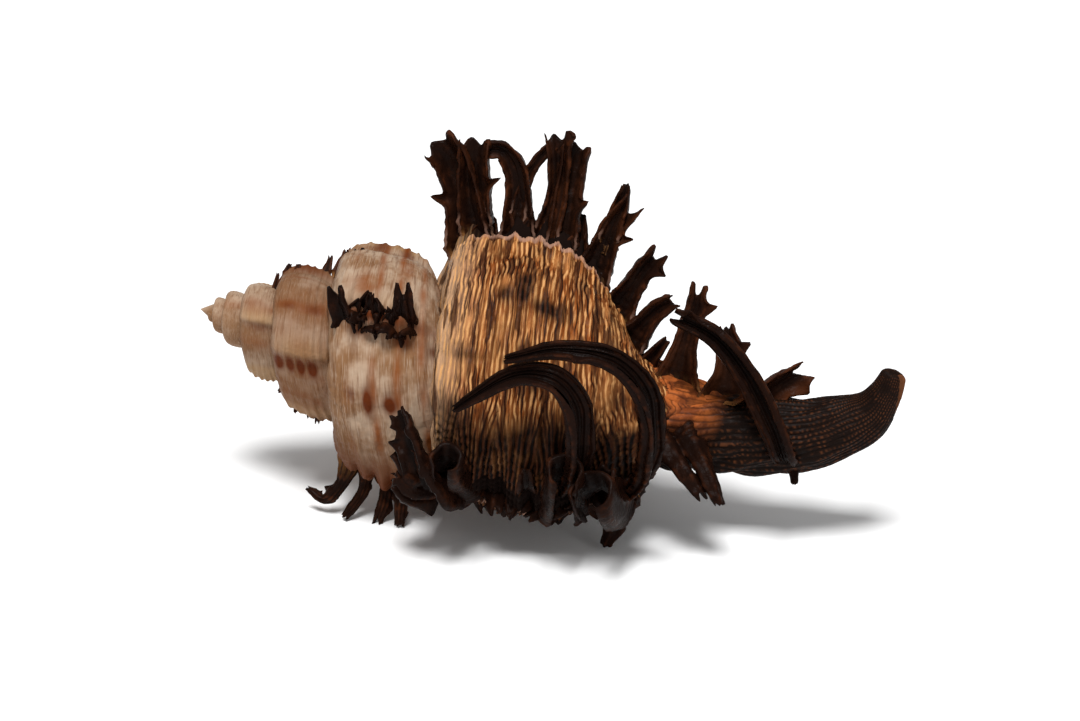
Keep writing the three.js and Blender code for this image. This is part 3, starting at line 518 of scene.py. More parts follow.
def relief_of_cords(at, share, phase, size, varix, last):
    """Fine cords that fade in and out, and broad ones that rise to the varices."""
    fade = 0.15 + 0.85 * ramp(-0.25, 0.3, noise(at * [1, 0.5, 0.5], 4, 3))
    lumps = 0.75 + 0.35 * noise(at, 0.9, 12)
    fine = (0.24 if last else 0.14) * fade * lumps * (fine_cords(phase) - 0.7)
    swing = 0.01 * noise(at, 8, 13)
    rows, half = (LAST_BROAD_CORDS, 0.019) if last else (BROAD_CORDS, 0.024)
    broad = sum(bump(share + swing, middle, half) for middle in rows)
    broad = broad * (1 + 0.5 * noise(at, 3, 14)) * ((0.6 + 4 * varix) if last else (0.3 + 6 * varix))
    return (fine * ramp(0, 0.08, share) + (0.8 if last else 0.36) * broad) * size, broad


def drawn_to_lobes(turn, along):
    """Along where a cord started that now lies here: cords draw together towards the lip's lobes."""
    lobes = np.array(LIP_LOBES)
    nearest = lobes[np.argmin(np.abs(along[..., None] - lobes), axis=-1)]
    return nearest + (along - nearest) * (1 + 1.3 * ramp(*CORDS_DRAW, turn))


def relief_near_lip(at, turn, phase, share):
    """Steep ribs and growth folds that run up to the last varix."""
    near = ramp(*RIBS_RISE, turn) * ramp(0.01, 0.1, share)
    ribs = fine_cords(phase / 2)
    thin = 0.2 * (fine_cords(phase) - 0.7)
    folds = np.sin(TAU * (turn * 90 + 0.5 * ribs + 1.4 * noise(at, 3, 9)))
    return near * (0.75 * ribs - 0.5 + 0.2 * folds - thin)


def whorl(start, end, steps, across):
    """Closed stretch of the coil and what its surface is, point by point."""
    last = end == 0
    turn = spread(start, end, steps)[:, None]
    share = np.linspace(0, LAST_SECTION_END if last else 1, across + 1)[None, :] ** SECTION_CROWDING
    suture, radius, height = growth(turn)
    angle = angle_of_turn(turn) + 0 * share
    size = radius / 18
    at = place(suture + share * height, angle, radius)
    along = suture + share * height + 0.7 * size * noise(at, 3.2, 15) * bump(share, 0, 0.06)
    crest = crest_shape(turn, share)
    varix = varix_relief(turn)
    waves = layered(at, CORD_WAVES)
    drawn = np.maximum((drawn_to_lobes(turn, along) - suture) / height, 0) if last else share
    phase = (LAST_CORDS if last else SPIRE_CORDS) * drawn ** 0.9 + waves * (1.3 if last else 0.6)
    cords, broad = relief_of_cords(at, share, phase, size, varix, last)
    u = (along - KNOB["along"]) / KNOB["half_length"]
    v = (angle - KNOB["angle"]) / KNOB["half_angle"]
    out = radius * section(turn, share) + varix * radius * crest * pleats(turn, along)
    out = out + cords + KNOB["height"] * np.exp(-u * u - v * v)
    out = out + step_after(turn, along, at, size) * crest
    crinkle = layered(at, CRINKLE)
    scallops = 0.12 * np.sin(TAU * (turn * 113 / 1.3 + 0.7 * fine_cords(phase) + noise(at, 3, 16)))
    out = out + (crinkle + scallops * ramp(-0.1, 0.4, noise(at, 5, 17))) * size
    dark, joint, lip = 0 * along, 0 * along, 0 * along
    if last:
        out = out + relief_near_lip(at, turn, phase, share)
        reach = canal_radius(along, angle)
        joint = ramp(-1.6, 0.6, reach - out + 0.5 * noise(at, 2.5, 22))
        out = smooth_max(out, reach - CANAL_SINK, CANAL_BLEND)

    wrapped = angle + 360 * np.round(-angle / 360)
    band = sum(strength * bump(share + 0.01 * noise(at, 4, 18), middle, 0.03)
               for middle, strength in SPIRE_BANDS) * (0.6 + 0.9 * noise(at, 3, 19))
    band = band * (0.15 + 0.85 * ramp(-1.9, -1.5, turn)) * (1 + 0.5 * ramp(-1.28, -1.2, turn))
    stains = patches(SPIRE_STAINS, turn + 0.012 * noise(at, 2, 23), share) * (1 + 0.5 * noise(at, 1.2, 24))
    band = np.maximum(band, stains)
    if last:
        dark = patches(BODY_PATCHES, along, wrapped) * (turn > -0.48)
        lip = ramp(*CORDS_DOUBLE, turn) + 0 * share
        # Near the lip and on the underside the darkening is partly the shell's own colour and partly
        # painted shade; the patches are its colour.
        near_lip = ramp(*LIP_DARKENS, turn + 0.02 * noise(at, 4, 20)) * ramp(0, 0.16, share)
        base = 0.7 * ramp(0.8, 1, share) * ramp(25, -25, wrapped) * (0.7 + 0.6 * noise(at, 4, 11))
        dark = np.maximum(np.maximum(dark, near_lip * (1.1 + 0.3 * noise(at, 3, 10))), base)
    pale, shaded_hollow = old_lip(turn, along, at)
    outer = place(along, angle, out)
    inner_share = np.linspace(share[0, -1], 0, INNER_POINTS)[None, :]
    inner = place(suture + inner_share * height, angle[:, :1], radius * INNER_SHARE + 0 * inner_share)
    fields = {
        "turn": turn + 0 * share, "share": share + 0 * turn, "cord": phase, "lip": lip, "zone": joint,
        "dark": np.clip(dark, 0, 1), "shaded_hollow": shaded_hollow * crest, "pale": pale * crest, "broad": broad,
        "band": band, "mark": patches(SPIRE_MARKS, turn, share), "crest": varix * crest,
    }
    for name, values in fields.items():
        edge = np.repeat(values[:, -1:], INNER_POINTS, axis=1)
        fields[name] = np.concatenate([values, edge], axis=1)
    return np.concatenate([outer, inner], axis=1), fields


def linked(name, data):
    """New object in the scene."""
    made = bpy.data.objects.new(name, data)
    bpy.context.scene.collection.objects.link(made)
    return made


def grid_mesh(name, rings, fields, paired):
    """Closed mesh from rings; paired caps join a ring's first half to its second half."""
    count, around = rings.shape[:2]
    index = np.arange(count * around).reshape(count, around)
    ahead = np.roll(index, -1, axis=1)
    sides = np.stack([index[:-1], ahead[:-1], ahead[1:], index[1:]], axis=-1).reshape(-1, 4)
    faces = sides.tolist()
    for ring, forward in ((index[0], False), (index[-1], True)):
        if paired:
            half = around // 2
            caps = [[ring[i], ring[i + 1], ring[around - 2 - i], ring[around - 1 - i]]
                    for i in range(half - 1)]
        else:
            caps = [list(ring)]
        faces += [cap if forward else cap[::-1] for cap in caps]
    points = rings.reshape(-1, 3)
    a, b, c, d = (points[sides[:, k]] for k in range(4))
    volume = np.sum(a * np.cross(b, c)) + np.sum(a * np.cross(c, d))
    if volume < 0:
        faces = [face[::-1] for face in faces]
    mesh = bpy.data.meshes.new(name)
    mesh.from_pydata(points.tolist(), [], [[int(v) for v in face] for face in faces])
    mesh.validate()
    corners = np.zeros(len(mesh.loops), np.int32)
    mesh.loops.foreach_get("vertex_index", corners)
    for field, values in fields.items():
        layer = mesh.attributes.new(field, "FLOAT", "CORNER")
        flat = np.broadcast_to(values, rings.shape[:2]).reshape(-1)
        layer.data.foreach_set("value", flat[corners].astype(np.float32))
    return linked(name, mesh)


def combine(piece, others, operation):
    """Joins the others to the piece, or cuts them from it, and drops them."""
    group = bpy.data.collections.new(piece.name + "_tools")
    bpy.context.scene.collection.children.link(group)
    for other in others:
        group.objects.link(other)
    step = piece.modifiers.new("combine", "BOOLEAN")
    step.operand_type = "COLLECTION"
    step.collection = group
    step.operation = operation
    step.solver = "MANIFOLD"
    graph = bpy.context.evaluated_depsgraph_get()
    mesh = bpy.data.meshes.new_from_object(piece.evaluated_get(graph), depsgraph=graph)
    piece.modifiers.clear()
    piece.data = mesh
    for other in others:
        bpy.data.objects.remove(other)
    bpy.data.collections.remove(group)
    return piece


def curve_through(points):
    """Centripetal curve through points: a function from share of the parameter to points."""
    points = np.asarray(points, float)
    padded = np.vstack([2 * points[0] - points[1], points, 2 * points[-1] - points[-2]])

    def at(share):
        p = np.clip(np.asarray(share, float), 0, 1) * (len(points) - 1)
        i = np.minimum(np.floor(p).astype(int), len(points) - 2)
        u = (p - i)[:, None]
        p0, p1, p2, p3 = (padded[i + k] for k in range(4))
        d0, d1, d2 = (np.linalg.norm(b - a, axis=1)[:, None] ** 0.5 for a, b in
                      ((p0, p1), (p1, p2), (p2, p3)))
        t1 = ((p1 - p0) / d0 - (p2 - p0) / (d0 + d1) + (p2 - p1) / d1) * d1
        t2 = ((p2 - p1) / d1 - (p3 - p1) / (d1 + d2) + (p3 - p2) / d2) * d1
        return (p1 + t1 * u + (-3 * p1 + 3 * p2 - 2 * t1 - t2) * u ** 2
                + (2 * p1 - 2 * p2 + t1 + t2) * u ** 3)

    return at


def even_points(points, count):
    """Points evenly spaced along the curve, with its length."""
    fine = curve_through(points)(np.linspace(0, 1, 400))
    steps = np.r_[0, np.cumsum(np.linalg.norm(np.diff(fine, axis=0), axis=1))]
    at = np.linspace(0, steps[-1], count)
    return np.stack([np.interp(at, steps, fine[:, k]) for k in range(3)], axis=1), steps[-1]


def unit(vectors):
    return vectors / np.linalg.norm(vectors, axis=-1, keepdims=True)


def carried_frames(points, first_open):
    """Directions ahead, open and to the side along a course, carried without twisting."""
    ahead = unit(np.gradient(points, axis=0))
    open_side = np.zeros_like(points)
    way = np.asarray(first_open, float)
    for i, direction in enumerate(ahead):
        way = unit(way - direction * (way @ direction))
        open_side[i] = way
    return ahead, open_side, np.cross(ahead, open_side)


def frond(name, look, seed, course, width, tip, *spurs):
    """Gutter of shell with ridged sides, a ragged rim, spurs and a torn tip."""
    tan, dark, rim, roll, ridge_count, ridge_height, ragged_rim, points_across = FROND_LOOK[look]
    points = place(*(np.array(column, float) for column in zip(*course)))
    points = np.vstack([points[0] + ROOT_DEPTH * unit(points[0] - points[1]), points])
    span = np.linalg.norm(np.diff(points, axis=0), axis=1).sum()
    stations = int(span * FROND_STATIONS_PER_MM) + 8
    line, length = even_points(points, stations)
    share = np.linspace(0, 1, stations)[:, None]
    root = np.radians(course[0][1])
    ahead, open_side, side = carried_frames(line, (0, -np.sin(root), -np.cos(root)))
    wide = smooth([(0, width[0]), (0.5, width[1] * 1.05), (0.8, (width[1] + width[2]) / 2),
                   (1, width[2])], share)
    across = np.linspace(-1, 1, points_across)[None, :]
    here = np.concatenate([share * length + seed * 9.1, 0 * share, 0 * share], axis=1)

    rolled = np.radians(roll) * (0.3 + 0.7 * ramp(0.02, 0.3, share)) * across
    arc = wide / 2 / np.sin(np.minimum(np.abs(rolled).max(axis=1, keepdims=True), np.pi / 2))
    out = arc * np.sin(rolled)
    rise = arc * (1 - np.cos(rolled))

    spurred = np.zeros((stations, 2))
    rough = np.zeros((stations, 2))
    for k in (0, 1):
        rough[:, k] = (noise(here, 1.5, 20 + k) + 0.6 * noise(here, 0.6, 30 + k)
                       + 2.2 * ramp(0.35, 0.8, noise(here, 1.1, 24 + k))) * ragged_rim
    for where, which, reach in spurs:
        spurred[:, 0 if which < 0 else 1] += reach * bump(share[:, 0] * length, where * length, 0.7)
    left = across < 0
    spur = np.where(left, spurred[:, :1], spurred[:, 1:]) * np.abs(across) ** 3
    edge = np.where(left, rough[:, :1], rough[:, 1:]) * np.abs(across) ** 3
    out = out + np.sign(across) * (spur * 1.1 + edge * np.cos(rolled))
    rise = rise + edge * np.sin(np.abs(rolled))
    torn = smooth(tip, across) * ramp(0.9 - 1.5 / length, 1, share) * width[2] / 3
    torn = torn + 0.35 * noise(np.stack([across[0] * 2.5 + seed, 0 * across[0], 0 * across[0]], -1),
                               0.6, 7)[None, :] * ramp(0.85, 1, share)

    thick = np.minimum(1.35 - 0.5 * share, 0.12 + 0.42 * wide) * ramp(1.06, 0.93, share) ** 0.5
    thick = thick * (1 - 0.75 * np.abs(across) ** 2.4)
    middle = line[:, None] + side[:, None] * out[..., None] + open_side[:, None] * rise[..., None]
    middle = middle + ahead[:, None] * (0.6 * spur + torn)[..., None]
    inward = (side[:, None] * -np.sin(rolled)[..., None] + open_side[:, None] * np.cos(rolled)[..., None])
    shifted = middle + np.array([seed * 9.1, 0, 0])
    ridges = ridge_height * np.sin(np.pi * ridge_count * across + 1.6 * noise(here, 5, 40)[:, None] + seed)
    folds = 0.26 * np.sin(TAU * share * length / 1.25 - 5 * across ** 2
                          + 2 * noise(here, 3, 41)[:, None]) * ramp(0.5, 0.12, share)
    flakes = layered(shifted, FLAKES) * (SPINE_FLAKES if look == "spine" else 1)
    skin = (ridges + folds + flakes) * (0.3 + 0.7 * ramp(0, 2.5, wide)) * (1 - 0.4 * np.abs(across))
    back = middle - inward * (0.5 * thick + skin)[..., None]
    front = middle + inward * (0.5 * thick - 0.6 * skin)[..., None]
    rings = np.concatenate([back, front[:, ::-1]], axis=1)

    def both(field):
        return np.concatenate([field, field[:, ::-1]], axis=1)

    fields = {
        "length": both(share + 0 * across), "across": both(across + 0 * share),
        "inside": np.concatenate([0 * out, 1 + 0 * out], axis=1),
        "ridge": both(skin / 0.5), "root_tan": tan, "dark": dark, "rim": rim,
    }
    return grid_mesh(name, rings, fields, True)


def scales():
    """Small gutters between the fronds, as (look, course, width, tip)."""
    random = np.random.default_rng(5)
    rows = []
    for look, turn, first, last, spacing, height, width, lean in SCALE_ROWS:
        along = first + spacing * random.uniform(0, 0.6)
        while along < last:
            turned = turn + random.normal(0, 0.005)
            suture, radius, tall = growth(turned)
            share = np.clip((along - suture) / tall, 0.02, 1)
            raised = section(turned, share) + varix_relief(turned) * crest_shape(turned, share)
            base = float(radius * raised)
            angle = angle_of_turn(turned)
            rise = height * random.uniform(0.5, 1.4)
            drift = random.normal(0, 0.3) * rise
            middle = (along + drift * 0.4, angle + lean * rise * 0.5, base + rise * 0.55)
            end = (along + drift, angle + lean * rise * 1.3, base + rise)
            tip = (TORN, FORK, BLUNT, NOTCH)[random.integers(4)]
            broad = width * random.uniform(0.7, 1.3)
            rows.append((look, [(along, angle, base - 0.9), middle, end],
                         (broad, broad * 0.7, broad * 0.3), tip))
            along += spacing * random.uniform(0.7, 1.3)
    return rows


def cavity():
    turns = np.linspace(CAVITY[0][0], CAVITY[-1][0], 61)
    at = [column[:, None] for column in columns(CAVITY, turns)]
    round_ = np.linspace(0, TAU, 48, endpoint=False)[None, :]
    rings = place(at[0] + np.cos(round_) * at[2], angle_of_turn(turns)[:, None],
                  at[1] + np.sin(round_) * at[3])
    rings = rings + 0.12 * noise(rings, 2.2, 50)[..., None] * unit(rings * [0, 1, 1] + 1e-9)
    fields = {"turn": turns[:, None], "share": 0.5, "cord": 0.5, "zone": 2}
    return grid_mesh("cavity", rings, fields, False)


def canal_line(share):
    return curve_through([centre for centre, _ in CANAL])(share)


def canal_half(share):
    return smooth([(i / (len(CANAL) - 1), half) for i, (_, half) in enumerate(CANAL)], share)


def canal():
    """Canal with beaded cords that run slantwise at its root and lengthwise towards its tip."""
    share = np.linspace(0, 1, 170)
    centre = canal_line(share)
    ahead = unit(np.gradient(centre, axis=0))
    depth = unit(np.array([0, 1, 0]) - ahead * ahead[:, 1:2])
    upright = np.cross(ahead, depth)
    half = (canal_half(share) * np.sqrt(1 - np.clip((share - 0.972) / 0.029, 0, 1) ** 2))[:, None]
    round_ = np.linspace(0, TAU, 240, endpoint=False)[None, :]
    share = share[:, None]
    flat = centre[:, None] + 6 * (upright[:, None] * np.cos(round_)[..., None]
                                  + depth[:, None] * np.sin(round_)[..., None])
    slant = 7 * (1 - share) ** 2
    phase = layered(flat, CANAL_WAVES, CANAL_CORDS * round_ / TAU + slant)
    beads = share * 70 + 1.6 * noise(flat, 2, 61) + 0.37 * np.floor(phase)
    beads = 0.5 + 0.5 * np.sin(TAU * beads)
    folds = np.sin(TAU * (round_ * 8 / TAU + slant + 0.4 * noise(flat, 7, 64)))
    relief = 0.26 * (fine_cords(phase) - 0.6) * (0.75 + 0.25 * beads) + 0.3 * noise(flat, 4, 62)
    relief = relief + 0.3 * folds * ramp(0.9, 0.3, share)
    relief = relief * (0.35 + 0.65 * ramp(1.6, 4.5, half))
    rings = (centre[:, None]
             + upright[:, None] * (np.cos(round_) * (half + relief))[..., None]
             + depth[:, None] * (np.sin(round_) * (half * CANAL_DEPTH_SHARE + relief))[..., None])
    level = np.sin(np.arctan2(rings[..., 2], -rings[..., 1]))
    patch = bump(share, 0.23, 0.1) * ramp(-0.75, -0.1, level)
    dark = np.clip(1.2 - 1.5 * patch + 0.25 * noise(flat, 4, 65), 0, 1)
    fields = {"turn": share - 1, "share": share + 0 * round_, "cord": phase, "zone": 1, "dark": dark,
              "bead": beads}
    return grid_mesh("canal", rings, fields, False)


def slit():
    share = SLIT_START + (1 - SLIT_START) * np.linspace(0, 1, 60)
    centre = canal_line(share)
    ahead = unit(np.gradient(centre, axis=0))
    centre[-1] += ahead[-1]
    out = np.stack(columns(SLIT_WAY, share), axis=1)
    out = unit(out - ahead * np.sum(ahead * out, axis=1, keepdims=True))
    side = np.cross(ahead, out)
    half = canal_half(share)
    wobble = 0.25 * noise(centre, 3, 70)
    corners = [(-0.5, SLIT_FLOOR), (0.5, SLIT_FLOOR), (0.5, SLIT_TOP), (-0.5, SLIT_TOP)]
    rings = np.stack([centre + side * (x * SLIT_WIDTH + wobble)[:, None] + out * (y * half)[:, None]
                      for x, y in corners], axis=1)
    return grid_mesh("slit", rings, {"turn": 0, "share": 0.5, "cord": 0.5, "zone": 3}, False)


def core():
    """Cone through the spire that becomes the columella."""
    along = np.r_[0.8 * np.linspace(-1, 1, 9), np.linspace(1.5, COLUMELLA_END, 60)]
    cone = np.minimum(COLUMELLA_RADIUS, CORE_SHARE * along + 0.55)
    tip = np.minimum(0.6 * (along + 0.82), 1.35)
    radius = np.where(along < 1.5, tip, np.maximum(cone, np.minimum(tip, 1.35)))[:, None]
    angle = np.linspace(0, 360, 32, endpoint=False)[None, :]
    rings = place(along[:, None], angle, radius + 0 * angle)
    return grid_mesh("core", rings, {"turn": -6.0, "share": 0.5, "cord": 0.5, "zone": 0}, False)


def laid_down():
    """Matrix that lays the shell on its fronds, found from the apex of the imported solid."""
    turned = (Matrix.Rotation(np.radians(-ROLL), 4, "X") @ Matrix.Rotation(np.radians(DIP), 4, "Y")
              @ Matrix.Rotation(np.radians(-TURN), 4, "Z"))
    back = turned.inverted()
    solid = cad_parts["shell"].data
    apex = min((back @ vertex.co for vertex in solid.vertices), key=lambda p: p.x)
    offset = turned @ (apex - Vector((APEX_SHIFT, 0, 0)) * MILLIMETRE)
    return Matrix.Translation(offset) @ turned @ Matrix.Scale(MILLIMETRE, 4)


def finish_piece(piece, matrix, material):
    piece.data.transform(matrix)
    count = len(piece.data.vertices)
    co = np.zeros(count * 3, np.float32)
    piece.data.vertices.foreach_get("co", co)
    co = np.clip(co.reshape(-1, 3), cad_box[0], cad_box[1])
    piece.data.vertices.foreach_set("co", co.reshape(-1))
    piece.data.materials.clear()
    piece.data.materials.append(material)
    piece.data.polygons.foreach_set("material_index", np.zeros(len(piece.data.polygons), np.int32))
    piece.data.shade_smooth()
    piece.data.update()
    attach(piece, "root")
    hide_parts("shell")


class Nodes:
    """Short names for building a material's node tree."""

    def __init__(self, name):
        self.material = bpy.data.materials.new(name)
        self.material.use_nodes = True
        self.tree = self.material.node_tree
        self.tree.nodes.clear()

    def add(self, kind, inputs=(), **settings):
        node = self.tree.nodes.new("ShaderNode" + kind)
        for key, value in settings.items():
            setattr(node, key, value)
        for key, value in dict(inputs).items():
            self.set(node.inputs[key], value)
        return node

    def set(self, socket, value):
        if isinstance(value, bpy.types.NodeSocket):
            self.tree.links.new(value, socket)
        else:
            socket.default_value = value

    def field(self, name):
        return self.add("Attribute", attribute_name=name).outputs["Fac"]

    def math(self, operation, a, b=0.0, clamp=False):
        node = self.add("Math", operation=operation, use_clamp=clamp)
        self.set(node.inputs[0], a)
        self.set(node.inputs[1], b)
        return node.outputs[0]

    def times(self, a, b, clamp=False):
        return self.math("MULTIPLY", a, b, clamp)

    def ramp(self, value, low, high, start=0.0, end=1.0):
        node = self.add("MapRange", interpolation_type="SMOOTHSTEP")
        for key, number in zip(("Value", "From Min", "From Max", "To Min", "To Max"),
                               (value, low, high, start, end)):
            self.set(node.inputs[key], number)
        return node.outputs[0]

    def noise(self, scale, detail=4):
        where = self.add("TexCoord").outputs["Object"]
        return self.add("TexNoise", {"Vector": where, "Scale": scale, "Detail": detail,
                                               "Roughness": NOISE_ROUGHNESS}).outputs["Fac"]

    def streaks(self, turn, share, turn_scale, share_scale, detail):
        """Noise drawn out along the coil's cords."""
        where = self.add("CombineXYZ", {
            "X": self.times(turn, float(turn_scale)),
            "Y": self.times(share, float(share_scale))}).outputs[0]
        return self.add("TexNoise", {"Vector": where, "Scale": 1.0,
                                               "Detail": detail}).outputs["Fac"]

    def mix(self, share, a, b):
        node = self.add("Mix", data_type="RGBA")
        self.set(node.inputs[0], share)
        self.set(node.inputs[6], a)
        self.set(node.inputs[7], b)
        return node.outputs[2]

    def painted(self, colour, *layers):
        """Colour with layers over it, each given as its share and its hex code."""
        for share, code in layers:
            colour = self.mix(share, colour, rgb(code))
        return colour

    def grained(self, middle, fine, strength):
        height = self.math("ADD", self.times(middle, GRAIN_SHARES[0]), self.times(fine, GRAIN_SHARES[1]))
        return self.add("Bump", {"Strength": strength, "Distance": GRAIN_DEPTH,
                                           "Height": height}).outputs[0]

    def surface(self, inputs):
        """Ends the material in a Principled shader, and gives the material."""
        shader = self.add("BsdfPrincipled", inputs)
        self.add("OutputMaterial", {"Surface": shader.outputs[0]})
        return self.material


def rgb(code):
    """Linear colour from a hex code of display values."""
    values = [int(code[k:k + 2], 16) / 255 for k in (0, 2, 4)]
    return tuple(((v + 0.055) / 1.055) ** 2.4 for v in values) + (1,)


def cord_wave(n, cord, lip):
    """0 in the grooves and 1 on the cords, with every second groove gone near the lip."""
    waves = [n.math("ABSOLUTE", n.math("SINE", n.times(cord, np.pi / size))) for size in (1, 2)]
    return n.math("ADD", n.times(waves[0], n.math("SUBTRACT", 1.0, lip)), n.times(waves[1], lip))


def body_colours(n, turn, share):
    """Colours of the body whorl, the spire and the canal, each over the whole surface."""
    large, middle = n.noise(150), n.noise(480)
    streak = n.streaks(turn, share, 14, 30, 3)
    thin = n.streaks(turn, share, 34, 110, 2)
    wave = cord_wave(n, n.field("cord"), n.field("lip"))
    groove = n.ramp(wave, 0.12, 0.68, 1, 0)
    ridge = n.ramp(wave, 0.5, 1)
    lines = n.times(groove, n.ramp(streak, 0.4, 0.52, 0.25, 1))
    lines = n.times(lines, n.ramp(share, 0.02, 0.22, 0.25, 1))
    lines = n.times(lines, n.ramp(large, 0.38, 0.6, 0.4, 1))
    lines = n.math("MAXIMUM", lines, n.ramp(thin, 0.6, 0.7, 0, 0.8))

    tan = n.painted(
        rgb("AE7240"), (n.ramp(large, 0.38, 0.62), "82441A"),
        (n.ramp(n.field("broad"), 0.1, 0.6, 0.7, 0), "5C3014"),
        (n.ramp(share, 0.0, 0.26, 0.9, 0), "B49272"),
        # Paler cord tops: partly the shell's own colour and partly a painted highlight.
        (n.times(ridge, n.ramp(thin, 0.56, 0.42)), "C8945E"),
        (n.times(n.ramp(streak, 0.53, 0.59), 0.85), "381A0C"), (lines, "1A0C07"))

    third_whorl = n.times(n.ramp(turn, -3.5, -3.1), n.ramp(turn, -1.95, -1.8, 0.35, 0))
    spire = n.painted(
        rgb("A28A74"), (n.ramp(large, 0.4, 0.6), "7C5A3E"),
        (n.ramp(streak, 0.5, 0.62, 0, 0.5), "623E24"),
        (n.ramp(thin, 0.5, 0.34, 0, 0.4), "B4A08C"),
        (n.ramp(n.field("crest"), 0.06, 0.14, 0, 0.6), "AE8C64"),
        (n.times(n.field("band"), 0.95, True), "763E18"),
        (n.ramp(share, 0.0, 0.1, 0.5, 0), "60422A"),
        # Painted shade: the underside of the penultimate whorl is darker, as light from above leaves it.
        (n.ramp(turn, -1.12, -1.03, 0, 0.75), "603E26"),
        (third_whorl, "624834"), (n.field("mark"), "54240B"))

    beaded = n.times(n.ramp(n.field("bead"), 0.3, 0.9, 0.05, 1), n.ramp(middle, 0.35, 0.6))
    deep = n.painted(rgb("120905"), (n.times(ridge, beaded), "482816"))
    canal = n.painted(rgb("A85A2A"), (n.ramp(middle, 0.4, 0.6), "6C361A"),
                      (n.times(groove, 0.6), "24130D"))
    canal = n.mix(n.field("dark"), canal, deep)
    return tan, spire, canal, ridge


def body_material():
    n = Nodes("shell_body")
    turn, share, zone, shaded_hollow = (n.field(name) for name in ("turn", "share", "zone", "shaded_hollow"))
    middle, fine = n.noise(480), n.noise(1600, 6)
    tan, spire, canal, ridge = body_colours(n, turn, share)
    colour = n.mix(n.ramp(turn, -0.9, -0.78), spire, tan)
    # Dark patches of the shell's colour, and darkening near the lip and on the underside that is partly
    # its colour and partly painted shade.
    dark_colour_and_shade = n.times(n.field("dark"), n.ramp(middle, 0.3, 0.6, 0.88, 1))
    colour = n.mix(dark_colour_and_shade, colour, n.mix(ridge, rgb("0C0604"), rgb("3A1E10")))
    on_canal = n.math("COMPARE", zone, 1.0)
    on_canal.node.inputs[2].default_value = 0.4
    colour = n.painted(
        # Painted shade in the groove at each stepped varix, under its fronds.
        n.mix(on_canal, colour, canal), (n.ramp(shaded_hollow, 0.15, 0.7), "140B08"),
        (n.ramp(n.field("pale"), 0.3, 0.8, 0, 0.75), "9E7A68"),
        (n.ramp(zone, 1.5, 1.9), "C4B8B0"), (n.ramp(zone, 2.5, 2.9), "603A24"))
    rough = n.math("MAXIMUM", n.ramp(fine, 0.3, 0.7, 0.4, 0.62), n.ramp(shaded_hollow, 0, 0.5))
    return n.surface({"Base Color": colour, "Normal": n.grained(middle, fine, 0.55),
                      "Specular IOR Level": 0.05, "Roughness": rough})


def frond_material():
    n = Nodes("shell_fronds")
    length, across, inside, ridge = (n.field(name) for name in ("length", "across", "inside", "ridge"))
    root_tan, dark, rim = (n.field(name) for name in ("root_tan", "dark", "rim"))
    large, middle, fine = n.noise(260), n.noise(800), n.noise(2400, 6)
    flat = n.math("ABSOLUTE", across)
    lit = n.times(n.ramp(middle, 0.42, 0.66), n.ramp(ridge, -0.2, 0.6))
    brown = n.painted(
        rgb("3E2011"), (n.ramp(large, 0.35, 0.65), "241109"),
        (n.ramp(dark, 0.6, 1, 0, 0.88), "110805"),
        (n.times(lit, n.ramp(dark, 0.7, 1, 0.8, 0.32)), "562C16"))
    stripes = n.math("SINE", n.times(across, 16.0))
    tan = n.painted(rgb("8A5E36"), (n.ramp(stripes, -0.2, 0.7), "402414"))
    near_root = n.math("SUBTRACT", 1.0, n.math("DIVIDE", length, n.math("MAXIMUM", root_tan, 0.01)), True)
    # Painted shade inside each gutter, darkest along its middle.
    shaded_hollow = n.times(inside, n.ramp(flat, 0.3, 0.9, 1, 0))
    edge = n.times(n.ramp(flat, 0.9, 0.99), n.times(rim, n.ramp(length, 0.2, 0.36, 0.6, 0)))
    colour = n.painted(n.mix(n.ramp(near_root, 0.05, 0.6), brown, tan),
                       (n.times(shaded_hollow, 0.75), "0D0705"), (edge, "967464"))
    return n.surface({"Base Color": colour, "Normal": n.grained(middle, fine, 0.6),
                      "Specular IOR Level": 0.03, "Roughness": n.ramp(middle, 0.3, 0.7, 0.24, 0.45)})


def build_shell():
    """Last whorl with its aperture, spire with the core, and canal, each closed."""
    stretches = []
    for i, (start, end, steps, across) in enumerate(WHORLS):
        rings, fields = whorl(start, end, steps, across)
        stretches.append(grid_mesh(f"whorl_{i}", rings, fields, False))
    body, spire, tube = stretches[0], stretches[1], canal()
    body.name, spire.name, tube.name = "murex_body", "murex_spire", "murex_canal"
    combine(body, [cavity()], "DIFFERENCE")
    combine(body, [slit()], "DIFFERENCE")
    combine(tube, [slit()], "DIFFERENCE")
    combine(spire, [*stretches[2:], core()], "UNION")
    return body, spire, tube


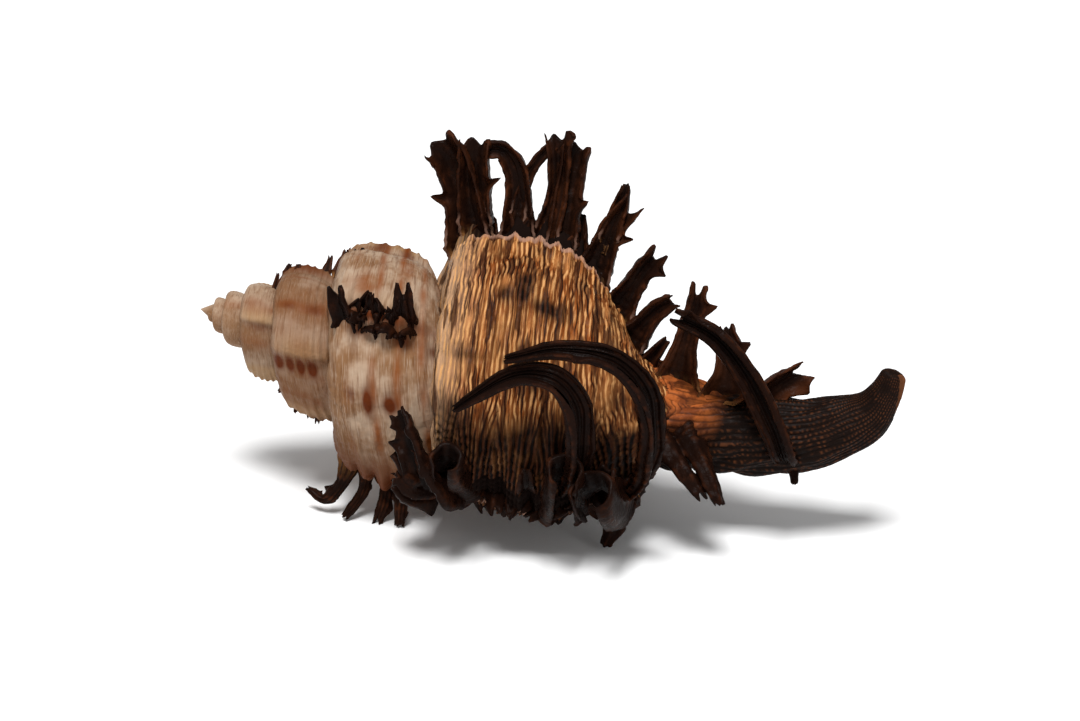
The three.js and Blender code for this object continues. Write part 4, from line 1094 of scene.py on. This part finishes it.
def build_fronds():
    rows = []
    for group, fronds in FRONDS.items():
        for i, row in enumerate(fronds):
            rows.append((OTHER_LOOKS.get((group, i), group), *row))
    large = [frond(f"frond_{i}", row[0], i, *row[1:]) for i, row in enumerate(rows)]
    small = [frond(f"scale_{i}", row[0], i + 100, *row[1:]) for i, row in enumerate(scales())]
    large[0].name, small[0].name = "murex_fronds", "murex_scales"
    return combine(large[0], large[1:], "UNION"), combine(small[0], small[1:], "UNION")


def light(name, location, energy, size):
    data = bpy.data.lights.new(name, "AREA")
    data.energy = energy
    data.size = size
    lamp = linked(name, data)
    lamp.location = location
    lamp.rotation_euler = (Vector(LIGHT_AIM) - Vector(location)).to_track_quat("-Z", "Y").to_euler()


def stage_and_light():
    bpy.ops.mesh.primitive_plane_add(size=FLOOR_SIZE, location=(0, 0, 0))
    floor = bpy.context.object
    floor.name = "floor"
    look = Nodes("pale_floor").surface({"Base Color": (*FLOOR_COLOUR, 1), "Roughness": 0.9})
    floor.data.materials.append(look)
    world = bpy.data.worlds.new("studio")
    bpy.context.scene.world = world
    world.use_nodes = True
    background = world.node_tree.nodes["Background"]
    background.inputs[0].default_value = (1, 1, 1, 1)
    background.inputs[1].default_value = WORLD_STRENGTH
    for row in LIGHTS:
        light(*row)


def camera(matrix):
    data = bpy.data.cameras.new("camera")
    data.lens = LENS
    data.sensor_width = SENSOR_WIDTH
    eye = linked("camera", data)
    # The aim is given in the frame before the roll, so only the roll and the offset are added.
    roll = Matrix.Rotation(np.radians(-ROLL), 4, "X")
    aim = matrix.to_translation() + (roll @ Vector(CAMERA_AIM)) * MILLIMETRE
    forward = roll @ Vector((0, 1, 0))
    eye.location = aim - forward * CAMERA_DISTANCE * MILLIMETRE
    eye.rotation_euler = (np.radians(90 - ROLL), 0, 0)
    bpy.context.scene.camera = eye


laid = laid_down()
camera(laid)
stage_and_light()
whorl_look, frond_look = body_material(), frond_material()
for part in build_shell():
    finish_piece(part, laid, whorl_look)
for part in build_fronds():
    finish_piece(part, laid, frond_look)
bpy.context.scene.view_settings.view_transform = "Standard"
